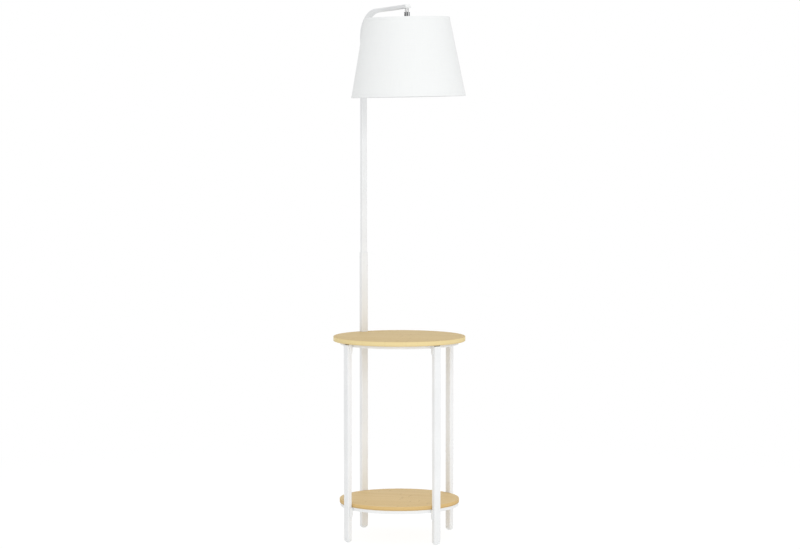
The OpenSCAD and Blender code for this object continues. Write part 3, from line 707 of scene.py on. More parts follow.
@dataclass(frozen=True)
class OpalGlass:
    """White glass that scatters the light inside its wall."""

    colour: Colour = (0.86, 0.86, 0.84)

    def material(self) -> bpy.types.Material:
        """Builds it.

        Returns:
            The material.
        """
        graph = Graph("opal_glass")
        cloud = graph.noise(graph.place(), 25.0)
        pale = tuple(part * 0.97 for part in self.colour)
        graph.set(Base_Color=graph.blend(cloud, self.colour, pale), IOR=1.5, Subsurface_Weight=0.35,
                  Subsurface_Radius=(1.0, 0.95, 0.9), Subsurface_Scale=0.004,
                  Roughness=graph.step(cloud, 0.3, 0.7, 0.16, 0.22))
        return graph.material


@dataclass(frozen=True)
class Cloth:
    """A plain weave: threads over and under each other, some of them thicker, with a soft sheen."""

    name: str
    colour: Colour = (0.85, 0.863, 0.86)
    shadow: Colour = (0.79, 0.804, 0.805)
    thread: float = 0.55
    relief: float = 0.06
    slub_long: float = 18.0
    slub_short: float = 950.0
    slub_share: float = 0.35
    weave_share: float = 0.25

    def material(self) -> bpy.types.Material:
        """Builds it: the weave's height is 0.5 + 0.5 sin(pi u / thread) sin(pi v / thread).

        Returns:
            The material.
        """
        graph = Graph(self.name)
        place = graph.cloth_place()
        around, upward, _ = graph.parts(place)
        rate = math.pi / (self.thread * MM)
        warp = graph.calc("SINE", graph.calc("MULTIPLY", around, rate))
        weft = graph.calc("SINE", graph.calc("MULTIPLY", upward, rate))
        weave = graph.calc("MULTIPLY_ADD", graph.calc("MULTIPLY", warp, weft), 0.5, 0.5)
        thick_weft, thick_warp = (graph.step(graph.noise(graph.scaled(place, (*rates, 1)), 1.0), 0.5, 0.75)
                                  for rates in ((self.slub_long, self.slub_short),
                                                (self.slub_short, self.slub_long)))
        slub = graph.calc("MAXIMUM", thick_weft, thick_warp)
        tint = graph.calc("MULTIPLY_ADD", slub, self.slub_share,
                          graph.calc("MULTIPLY", weave, self.weave_share))
        graph.set(Base_Color=graph.blend(tint, self.colour, self.shadow), Roughness=0.85,
                  Specular_IOR_Level=0.25, Sheen_Weight=0.15, Sheen_Roughness=0.5)
        graph.bump(graph.calc("MULTIPLY_ADD", slub, 0.8, weave), self.relief)
        return graph.material


@dataclass
class Finishes:
    """The object's finishes, each built once, by the slot that it belongs to."""

    kinds: dict[Slot, Finish] = field(default_factory=lambda: {
        Slot.PAINT: Paint(),
        Slot.PLASTIC: Plastic("white_moulding", (0.84, 0.855, 0.86)),
        Slot.HOLDER: Plastic("holder_moulding", (0.78, 0.78, 0.76), 0.3),
        Slot.SHEATH: Plastic("lead_sheath_vinyl", (0.92, 0.92, 0.91), 0.5),
        Slot.CHROME: Metal("chrome_plate", (0.64, 0.65, 0.66), 0.06),
        Slot.BRASS: Metal("rolled_brass", (0.78, 0.60, 0.30), 0.26),
        Slot.ZINC: Metal("zinc_plate", (0.66, 0.68, 0.70), 0.3),
        Slot.GLASS: OpalGlass(),
        Slot.FABRIC: Cloth("shade_weave"),
        Slot.TAPE: Cloth("tape_weave", thread=0.4),
    })
    made: dict[Slot, bpy.types.Material] = field(default_factory=dict)

    def get(self, slot: Slot) -> bpy.types.Material:
        """The finish of a slot, which is built when it is first asked for.

        Args:
            slot: The slot.

        Returns:
            The material.
        """
        if slot not in self.made:
            self.made[slot] = self.kinds[slot].material()
        return self.made[slot]

    def dress(self, slot: Slot, *nodes: str) -> None:
        """Gives CAD nodes whose shape stays their finish.

        Args:
            slot: The slot whose finish they take.
            nodes: The nodes' names.
        """
        for node in nodes:
            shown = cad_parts[node]
            for place in shown.material_slots:
                place.material = self.get(slot)
            LOG.info("%s: kept, %s", node, slot.value)

    def piece(self, name: str, shells: Sequence[Shell], slot: Slot, body: Body, stands_for: str,
              crease: float = 38.0, kind: Union[Finish, None] = None) -> bpy.types.Object:
        """Makes a piece from closed surfaces, in metres, and lets it stand for a CAD node.

        Args:
            name: The piece's name.
            shells: Its surfaces, in millimetres and in place.
            slot: The slot whose finish it takes.
            body: The body it moves with.
            stands_for: The node that it replaces.
            crease: The angle in degrees past which an edge is sharp.
            kind: A finish of its own, in place of its slot's.

        Returns:
            The new object.
        """
        offset, points, faces = 0, [], []
        for shell in shells:
            points.append(shell.points * MM)
            for group in shell.faces:
                faces += (group + offset).tolist()
            offset += len(shell.points)
        mesh = bpy.data.meshes.new(name)
        mesh.from_pydata(np.concatenate(points).tolist(), [], faces)
        mesh.polygons.foreach_set("use_smooth", np.ones(len(mesh.polygons), bool))
        mesh.set_sharp_from_angle(angle=math.radians(crease))
        mesh.materials.append(kind.material() if kind else self.get(slot))
        piece = bpy.data.objects.new(name, mesh)
        bpy.context.scene.collection.objects.link(piece)
        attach(piece, body.value)
        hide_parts(stands_for)
        LOG.info("%s: %d faces, for %s", name, len(faces), stands_for)
        return piece


def lay_cloth(piece: bpy.types.Object, along: Array, across: Array, lap: float) -> None:
    """Writes the piece's own cloth map, in metres.

    Args:
        piece: A piece of quads only.
        along: Each point's distance round the cloth, in millimetres.
        across: Each point's distance up the cloth, in millimetres.
        lap: The distance round where the cloth meets its start, so that the last quads don't run back.
    """
    mesh = piece.data
    corner = np.zeros(len(mesh.loops), np.int32)
    mesh.loops.foreach_get("vertex_index", corner)
    round_it = along[corner].reshape(-1, 4)
    wraps = np.ptp(round_it, axis=1)[:, None] > lap / 2
    round_it = np.where(wraps & (round_it < lap / 2), round_it + lap, round_it)
    places = np.stack([round_it.ravel(), across[corner]], -1) * MM
    mesh.uv_layers.new(name="cloth").data.foreach_set("uv", places.astype(np.float32).ravel())


# ---- Fasteners ----


@dataclass(frozen=True)
class PanScrew:
    """A pan-head screw with a cross recess, 4 mm thick unless it is told otherwise.

    Its head is above z 0 and its shank below.
    """

    length: float
    shank_r: float = 1.95
    head_r: float = 3.8
    head_h: float = 2.4
    dome_share: float = 0.93
    dome_drop: float = 0.22
    rim_r: float = 0.25
    slot_half: float = 0.5
    slot_reach: float = 2.0
    slot_depth: float = 1.3
    slot_soft: float = 0.18
    pitch: float = 0.7
    thread: float = 0.3
    sides: int = 48

    def shell(self) -> Shell:
        """The screw.

        The head is a low dome whose height drops with the square of the radius. The recess lowers it where a
        point lies in one of two crossed slots, and the shank's radius waves with height and angle.

        Returns:
            The surface.
        """
        angle = round_angles(self.sides)
        top_r = np.linspace(0.04, 1, 16) * self.head_r * self.dome_share
        dome = self.head_h * (1 - self.dome_drop * (top_r / self.head_r) ** 2)
        rim = rounded([(top_r[-1], dome[-1]), (self.head_r, self.head_h * 0.6), (self.head_r, 0.0),
                       (self.shank_r, 0.0)], self.rim_r, 4, closed=False)[1:]
        down = np.linspace(0, self.length, int(self.length / self.pitch * 6))
        shank = np.stack([np.full(len(down), self.shank_r), -down], -1)
        profile = np.concatenate([np.stack([top_r, dome], -1), rim, shank[1:]])
        x, y = profile[:, :1] * np.cos(angle), profile[:, :1] * np.sin(angle)
        slots = [(1 - smooth_step(np.abs(a), self.slot_half - self.slot_soft, self.slot_half))
                 * (1 - smooth_step(np.abs(b), self.slot_reach - self.slot_soft, self.slot_reach))
                 for a, b in ((x, y), (y, x))]
        on_top = (np.arange(len(profile)) < len(top_r))[:, None]
        lift = -self.slot_depth * np.maximum(*slots) * on_top
        on_shank = (np.arange(len(profile)) >= len(profile) - len(down) + 1)[:, None]
        wave = np.cos(TAU * profile[:, 1:2] / self.pitch - angle) * 0.5 - 0.5
        taper = smooth_step(profile[:, 1:2], -self.length, -self.length + 2 * self.pitch) - 1
        swell = on_shank * (self.thread * wave + taper * self.shank_r * 0.35)
        return lathe(profile, self.sides, Ends.FAN, swell, lift)


# ---- Sub-assemblies ----


@dataclass
class Placing:
    """The object's driving places: the legs, the arm and the swivel."""

    leg_r: float = 189.75
    leg_angles: dict[str, float] = field(default_factory=lambda: {
        "front_left": 225.0, "front_right": 315.0, "back_right": 45.0, "back_left": 135.0})
    arm_h: float = 1604.8
    arm_rise: float = 3.0
    shade_offset: float = 39.0
    shade_lean: float = 1.2
    pivot_drop: float = 20.8

    def leg(self, name: str) -> Array:
        """A leg's frame: X points outwards."""
        return turn(Axis.Z, self.leg_angles[name]) @ shift(self.leg_r)

    def pole(self) -> Array:
        """The pole's frame: X points to the table's middle."""
        return self.leg("back_left") @ turn(Axis.Z, 180)

    def arm(self) -> Array:
        """The arm's frame above the swivel: X runs along the arm."""
        swivel = shift(self.leg_r + self.shade_offset, 0, self.arm_h)
        return self.pole() @ swivel @ turn(Axis.Y, -self.arm_rise)

    def hung(self) -> Array:
        """The swivel's frame: Y is its pins' axis.

        Returns:
            The place.
        """
        away = math.radians(self.leg_angles["back_left"] + 180)
        x, y = self.shade_offset * math.cos(away), self.shade_offset * math.sin(away)
        return (shift(x, y, self.arm_h - self.pivot_drop) @ turn(Axis.Y, -self.shade_lean)
                @ turn(Axis.Z, self.leg_angles["back_left"] + 180))


@dataclass
class Board:
    """A round board with rounded edges, with or without a notch for the pole."""

    radius: float
    under: float
    thickness: float
    notch_floor: float = 0.0
    notch_half: float = 0.0
    notch_angle: float = 0.0
    edge_r: float = 1.5
    corner_r: float = 2.0

    def outline(self, inset: float) -> Array:
        """The outline drawn in by an inset.

        It is a chain of arcs: each point is the arc's centre plus its radius times the outward normal, where
        the radius is negative on a hollow corner. An inset only takes its amount off every radius.

        Args:
            inset: How far it is drawn in.

        Returns:
            The outline's points, seen from above.
        """
        if not self.notch_half:
            return (self.radius - inset) * unit(round_angles(288))
        lip_y = self.notch_half + self.corner_r
        lip_x = math.sqrt((self.radius - self.corner_r) ** 2 - lip_y ** 2)
        lip, quarter = math.atan2(lip_y, lip_x), TAU / 4
        floor_x, floor_y = self.notch_floor + self.corner_r, self.notch_half - self.corner_r
        arcs = [((0, 0), self.radius, lip, TAU - lip, 280),
                ((lip_x, -lip_y), self.corner_r, -lip, quarter, 9),
                ((floor_x, -floor_y), -self.corner_r, quarter, 0, 7),
                ((floor_x, floor_y), -self.corner_r, 0, -quarter, 7),
                ((lip_x, lip_y), self.corner_r, -quarter, lip, 9)]
        points = []
        for centre, radius, start, stop, count in arcs:
            angle = np.linspace(start, stop, count, endpoint=radius != self.radius)
            points.append(np.array(centre) + (radius - inset) * unit(angle))
        return np.concatenate(points)

    def shell(self) -> Shell:
        """The board: its outline over a quarter circle, the straight edge and a quarter circle again.

        Returns:
            The surface.
        """
        on, drawn = round_edge(6)
        inset = self.edge_r * np.concatenate([1 - on, drawn])
        rise = self.edge_r * np.concatenate([drawn, on - 1])
        height = self.under + rise + np.repeat([0, self.thickness], len(on))
        rows = np.stack([self.outline(amount) for amount in inset])
        heights = np.broadcast_to(height[:, None, None], (*rows.shape[:2], 1))
        points = np.concatenate([rows, heights], -1)
        return carried(points, Ends.FLAT).moved(turn(Axis.Z, self.notch_angle))


@dataclass
class Table:
    """The table: boards, rings, saddles, legs, feet and their screws."""

    at: Placing
    finishes: Finishes
    top_r: float = 200.0
    top_t: float = 14.0
    top_under: float = 598.0
    shelf_r: float = 181.5
    shelf_t: float = 12.0
    shelf_under: float = 106.0
    leg_w: float = 23.0
    leg_depth: float = 14.5
    leg_corner: float = 2.5
    leg_wall: float = 1.5
    notch_gap: float = 0.6
    ring_r: float = 179.7
    ring_w: float = 10.0
    ring_h: float = 10.0
    ring_corner: float = 1.6
    weld_r: float = 0.9
    weld_half_h: float = 3.6
    weld_in: float = 2.5
    weld_sink: float = 0.5
    saddle_t: float = 2.0
    saddle_gap: float = 0.8
    saddle_side_gap: float = 0.2
    saddle_cheek: float = 12.0
    saddle_h: float = 30.0
    saddle_web_h: float = 22.0
    saddle_bend: float = 2.0
    saddle_edge: float = 0.5
    screw_drop: float = 16.0
    screw_len: float = 8.6
    wood_screw_r: float = 1.75
    wood_head_r: float = 4.0
    wood_head_h: float = 2.2
    wood_screw_len: float = 18.5
    wood_pitch: float = 1.6
    wood_thread: float = 0.5
    wood_turn: float = 3.3
    plug_z: float = 592.5
    plug_flange: float = 2.5
    plug_stem: float = 5.5
    plug_soft: float = 1.0
    plug_bevel: float = 0.8
    plug_lip: float = 0.15
    stem_gap: float = 0.2
    foot_h: float = 10.0
    foot_neck: float = 0.8
    foot_neck_in: float = 0.6
    foot_rim: float = 0.3
    foot_stem: float = 22.0
    foot_tip: tuple[float, float] = (6.0, 12.0)
    foot_tip_bevel: float = 0.6
    foot_full: float = 0.8
    foot_lift: float = 0.15
    hair: float = 0.01
    # The shelf's edge colours are painted shade: darker than its top, and darkest towards the underside.
    shelf_tones_and_shade: dict[str, Colour] = field(default_factory=lambda: {
        "pale": (0.78, 0.595, 0.32), "deep": (0.70, 0.515, 0.252),
        "edge": (0.70, 0.49, 0.215), "edge_shade_and_streak": (0.56, 0.37, 0.15)})

    def boards(self) -> None:
        """The table top, which has a notch for the pole, and the shelf, whose edge is painted darker as
        shade.
        """
        floor = self.at.leg_r - self.leg_depth / 2 - self.notch_gap
        top = Board(self.top_r, self.top_under, self.top_t, floor, self.leg_w / 2 + self.notch_gap,
                    self.at.leg_angles["back_left"])
        shelf = Board(self.shelf_r, self.shelf_under, self.shelf_t)
        for node, board, tones in (("table_top", top, {}), ("shelf", shelf, self.shelf_tones_and_shade)):
            wood = Bamboo(f"bamboo_{node}", board.under + board.thickness, board.thickness, **tones)
            self.finishes.piece(f"{node}_board", [board.shell()], Slot.BAMBOO, Body.ROOT, node, kind=wood)

    def ring(self, under: float) -> list[Shell]:
        """A ring of square tube with rounded corners, and the welds that join it to the saddles.

        Args:
            under: The height of the board's underside.

        Returns:
            The surfaces.
        """
        inner, low = self.ring_r - self.ring_w, under - self.ring_h
        profile = rounded([(inner, low), (self.ring_r, low), (self.ring_r, under), (inner, under)],
                          self.ring_corner, 6)
        out, along = self.ring_r - self.at.leg_r - self.weld_sink, self.leg_w / 2 - self.weld_in
        weld = bead(self.weld_r, self.weld_half_h, 7, 14)
        welds = [weld.moved(self.at.leg(name) @ shift(out, side * along, under - self.ring_h / 2))
                 for name in self.at.leg_angles for side in (-1, 1)]
        return [lathe(profile, 240), *welds]

    def saddle(self, name: str, under: float) -> Shell:
        """A bent strip that hugs a leg.

        The strip's middle line runs in plan along one cheek, round a bend, across the web and back along the
        other cheek. Its lower edge is level under the web, and on each cheek it follows a half circle as wide
        as the cheek. The strip's section is a rounded rectangle, as thick as the steel and as high as that.

        Args:
            name: The leg's name.
            under: The height of the board's underside.

        Returns:
            The surface.
        """
        half = self.leg_w / 2 + self.saddle_side_gap + self.saddle_t / 2
        face = -self.leg_depth / 2 - self.saddle_gap - self.saddle_t
        web, end = face + self.saddle_t / 2, face + self.saddle_cheek
        plan = evenly(rounded([(end, half), (web, half), (web, -half), (end, -half)], self.saddle_bend, 9,
                              closed=False), 72)
        reach = plan[:, 0] - face
        round_r = self.saddle_cheek / 2
        bow = np.sqrt(np.maximum(round_r ** 2 - (reach - round_r) ** 2, 0))
        share = smooth_step(reach, self.saddle_t * 0.8, self.saddle_t * 2)
        low = -self.saddle_web_h * (1 - share) - (self.saddle_h - round_r + bow) * share
        heading = headings(plan)
        normal = np.stack([heading[:, 1], -heading[:, 0]], -1)
        angle, side, top = round_corners(4)
        edge, middle = self.saddle_edge, low[:, None] / 2
        off = side * (self.saddle_t / 2 - edge) + edge * np.cos(angle)
        height = middle - top * (middle + edge) + edge * np.sin(angle)
        flat = plan[:, None] + off[None, :, None] * normal[:, None]
        points = np.concatenate([flat, height[..., None] + under], -1)
        return carried(points, Ends.FLAT).moved(self.at.leg(name))

    def tube_level(self, height: float, drawn: float = 0.0) -> tuple[float, float, float, float]:
        """A level with the legs' outline, drawn in by an amount."""
        return height, self.leg_depth - 2 * drawn, self.leg_w - 2 * drawn, self.leg_corner - drawn

    def stem_level(self, height: float, slimmer: float = 0.0) -> tuple[float, float, float, float]:
        """A level of a stem that fits in a leg's bore, or is slimmer."""
        less = 2 * (self.leg_wall + self.stem_gap) + slimmer
        return height, self.leg_depth - less, self.leg_w - less, self.leg_corner - self.leg_wall

    def plug(self) -> Shell:
        """A leg's top plug: a stem, a flange like the tube's outline and a softly rounded top edge.

        Returns:
            The surface.
        """
        bevel, lip = self.plug_bevel, self.plug_lip
        levels = [self.stem_level(-self.plug_stem, bevel), self.stem_level(bevel - self.plug_stem),
                  self.stem_level(0.0),
                  (0.0, self.leg_depth - 2 * lip, self.leg_w - 2 * lip, self.leg_corner),
                  self.tube_level(lip)]
        for on, drawn in zip(*round_edge(7)):
            level = self.plug_flange + self.plug_soft * (on - 1)
            levels.append(self.tube_level(level, self.plug_soft * drawn))
        return stacked(np.array(levels)).moved(shift(z=self.plug_z))

    def foot(self) -> Shell:
        """A foot: its sides swell from the tip as 1 - (1 - s)^1.5, up to a shadow gap and a stem.

        Returns:
            The surface.
        """
        tip_h = self.foot_h - self.foot_neck
        share = np.linspace(0, 1, 12)
        grown = 1 - (1 - share) ** 1.5
        tip_x, tip_y = self.foot_tip
        swell = np.stack([tip_h * self.foot_full * share, tip_x + (self.leg_depth - tip_x) * grown,
                          tip_y + (self.leg_w - tip_y) * grown, np.full(12, self.leg_corner)], -1)
        swell[0, 1:3] -= self.foot_tip_bevel
        swell[1:, 0] += self.foot_lift * (1 - share[1:])
        swell[:, 3] = np.minimum(self.leg_corner, swell[:, 1] / 2 - 0.1)
        rest = [self.tube_level(tip_h - self.foot_rim), self.tube_level(tip_h, self.foot_rim),
                self.tube_level(tip_h + self.hair, self.foot_neck_in),
                self.tube_level(self.foot_h, self.foot_neck_in), self.stem_level(self.foot_h + self.hair),
                self.stem_level(self.foot_h + self.foot_stem)]
        return stacked(np.concatenate([swell, rest]))

    def leg_screws(self, under: float) -> list[Shell]:
        """The four machine screws that go outwards through the saddles into the legs.

        Args:
            under: The height of the board's underside.

        Returns:
            The surfaces.
        """
        screw = PanScrew(self.screw_len).shell()
        face = -self.leg_depth / 2 - self.saddle_gap - self.saddle_t
        return [screw.moved(self.at.leg(name) @ shift(face, 0, under - self.screw_drop) @ turn(Axis.Y, -90))
                for name in self.at.leg_angles]

    def wood_screws(self, under: float) -> list[Shell]:
        """The four wood screws that go up through the ring into the board.

        Args:
            under: The height of the board's underside.

        Returns:
            The surfaces.
        """
        screw = PanScrew(self.wood_screw_len, self.wood_screw_r, self.wood_head_r, self.wood_head_h,
                         pitch=self.wood_pitch, thread=self.wood_thread).shell()
        middle = self.ring_r - self.ring_w / 2
        turns = (-self.wood_turn, self.wood_turn) * 2
        return [screw.moved(turn(Axis.Z, angle + beside) @ shift(middle, 0, under - self.ring_h)
                            @ turn(Axis.X, 180)) for angle, beside in zip(self.at.leg_angles.values(), turns)]

    def build(self) -> None:
        """Makes and dresses the table."""
        self.boards()
        for level, under in (("top", self.top_under), ("shelf", self.shelf_under)):
            parts = [("ring_tube", "ring", self.ring(under), Slot.PAINT)]
            parts += [(f"saddle_strip_{name}", f"saddle_{name}", [self.saddle(name, under)], Slot.PAINT)
                      for name in self.at.leg_angles]
            parts += [("pan_screws", "leg_screws", self.leg_screws(under), Slot.ZINC),
                      ("board_screws", "wood_screws", self.wood_screws(under), Slot.ZINC)]
            for name, node, shells, slot in parts:
                self.finishes.piece(f"{level}_{name}", shells, slot, Body.ROOT, f"{level}_{node}")
            self.finishes.dress(Slot.ZINC, f"{level}_rivet_nuts")
        for name in self.at.leg_angles:
            mouldings = {"foot": self.foot()}
            if name != "back_left":
                mouldings["plug"] = self.plug()
                self.finishes.dress(Slot.PAINT, f"leg_{name}")
            for kind, shell in mouldings.items():
                self.finishes.piece(f"{kind}_moulding_{name}", [shell.moved(self.at.leg(name))], Slot.PLASTIC,
                                    Body.ROOT, f"{kind}_{name}")


@dataclass
class Pole:
    """The pole and its arm, with what is fastened to them."""

    at: Placing
    finishes: Finishes
    leg_w: float = 23.0
    leg_depth: float = 14.5
    leg_wall: float = 1.5
    lock_z: float = 817.0
    lock_screw_len: float = 5.9
    pole_w: float = 19.6
    pole_depth: float = 11.1
    pole_corner: float = 2.2
    pole_wall: float = 1.2
    arm_tip: float = 5.5
    inlet_h: float = 60.0
    inlet_bore_r: float = 2.9
    inlet_hole_r: float = 4.5
    inlet_flange_r: float = 6.5
    inlet_flange_t: float = 1.6
    inlet_lip: float = 0.8
    inlet_lip_t: float = 1.0
    end_stem: float = 2.0
    end_gap: float = 0.2
    end_rim: float = 0.8
    end_out: float = 1.8
    end_drawn: float = 1.2
    # The arm's end cap is painted whiter than the other mouldings: painted light for the strong light on its
    # face.
    end_cap_lit_moulding: Plastic = Plastic("lit_end_moulding", (0.93, 0.94, 0.94))

    def lock_screw(self) -> Shell:
        """The screw that locks the two tubes together."""
        place = self.at.pole() @ shift(0, self.leg_w / 2, self.lock_z) @ turn(Axis.X, -90)
        return PanScrew(self.lock_screw_len).shell().moved(place)

    def grommet(self) -> Shell:
        """The bush in the cable inlet: a closed profile round its bore, with a soft flange.

        Returns:
            The surface.
        """
        wall, lip_r = self.leg_wall, self.inlet_hole_r + self.inlet_lip
        low = -wall - self.inlet_lip_t
        corners = [(self.inlet_bore_r, low), (lip_r, low), (lip_r, -wall), (self.inlet_hole_r, -wall),
                   (self.inlet_hole_r, 0), (self.inlet_flange_r, 0),
                   (self.inlet_flange_r, self.inlet_flange_t), (self.inlet_bore_r, self.inlet_flange_t)]
        profile = rounded(corners, [0.3, 0.3, 0.1, 0.1, 0.1, 0.2, 1.0, 0.6], 6)
        place = self.at.leg("back_left") @ shift(self.leg_depth / 2, 0, self.inlet_h) @ turn(Axis.Y, 90)
        return lathe(profile, 64).moved(place)

    def end_plug(self) -> Shell:
        """The plug in the arm's end: a stem and a cap that is drawn in with a quarter circle.

        Returns:
            The surface.
        """
        on, drawn = round_edge(7)
        drawn *= self.end_drawn
        cap = np.stack([self.end_rim + (self.end_out - self.end_rim) * on, self.pole_depth - 2 * drawn,
                        self.pole_w - 2 * drawn, self.pole_corner - drawn], -1)
        inner, corner = 2 * (self.pole_wall + self.end_gap), self.pole_corner - self.pole_wall
        stem = [(z, self.pole_depth - inner, self.pole_w - inner, corner) for z in (-self.end_stem, 0.0)]
        base = [(0.01, self.pole_depth, self.pole_w, self.pole_corner)]
        place = self.at.arm() @ shift(self.arm_tip) @ turn(Axis.Y, 90)
        return stacked(np.concatenate([stem, base, cap])).moved(place)

    def build(self) -> None:
        """Makes and dresses the pole."""
        self.finishes.dress(Slot.PAINT, "pole_lower", "pole_upper")
        self.finishes.dress(Slot.ZINC, "pole_weld_nut")
        self.finishes.dress(Slot.SHEATH, "inner_lead")
        self.finishes.piece("tube_lock_screw", [self.lock_screw()], Slot.ZINC, Body.ROOT, "pole_lock_screw")
        self.finishes.piece("cable_bush", [self.grommet()], Slot.PLASTIC, Body.ROOT, "cable_grommet")
        self.finishes.piece("arm_end_cap", [self.end_plug()], Slot.PLASTIC, Body.ROOT, "arm_end_plug",
                            kind=self.end_cap_lit_moulding)


@dataclass
class Swivel:
    """The hanger in the arm's end and the cup that tilts on its pins."""

    at: Placing
    finishes: Finishes
    wire_r: float = 1.25
    wire_y: float = 5.4
    pin_end: float = 8.1
    bend_r: float = 1.9
    arm_floor: float = 4.35
    plate_t: float = 1.6
    plate_w: float = 15.2
    plate_front: float = 3.3
    plate_back: float = 6.14
    lead_bore: float = 3.36
    lead_bore_x: float = -1.29
    bright: Metal = Metal("bright_wire", (0.93, 0.94, 0.95), 0.2)

    def wires(self) -> list[Shell]:
        """The two wires: each comes in along its pin, bends and runs up to the plate inside the arm.

        Returns:
            The surfaces.
        """
        top = self.at.pivot_drop - self.arm_floor + self.plate_t / 2
        shells = []
        for side in (-1, 1):
            corners = [(0, side * self.pin_end, 0), (0, side * self.wire_y, 0), (0, side * self.wire_y, top)]
            path = rounded(corners, self.bend_r, 10, closed=False)
            shells.append(wire(path, self.wire_r, (1, 0, 0)).moved(self.at.hung()))
        return shells

    def plate(self) -> Shell:
        """The plate on the arm's floor: a ruled wall between its rounded outline and the lead's bore.

        Returns:
            The surface.
        """
        half = self.plate_w / 2
        outline = rounded([(self.plate_front, -half), (self.plate_front, half), (-self.plate_back, half),
                           (-self.plate_back, -half)], 1.0, 6)
        outer = evenly(np.concatenate([outline, outline[:1]]), 65)[:-1]
        bore = np.array([self.lead_bore_x, 0])
        inner = bore + self.lead_bore * unit(np.arctan2(*(outer - bore).T[::-1]))
        rows = np.stack([outer, outer, inner, inner])
        height = np.array([0, self.plate_t, self.plate_t, 0])[:, None, None]
        points = np.concatenate([rows, np.broadcast_to(height, (*rows.shape[:2], 1))], -1)
        return carried(points, Ends.LOOP).moved(self.at.arm() @ shift(z=-self.arm_floor))

    def build(self) -> None:
        """Makes and dresses the swivel."""
        self.finishes.piece("hanger_wires", [*self.wires(), self.plate()], Slot.CHROME, Body.ROOT, "hanger",
                            kind=self.bright)
        self.finishes.dress(Slot.CHROME, "swivel_cup")
        self.finishes.dress(Slot.ZINC, "swivel_nipple", "nipple_nut")


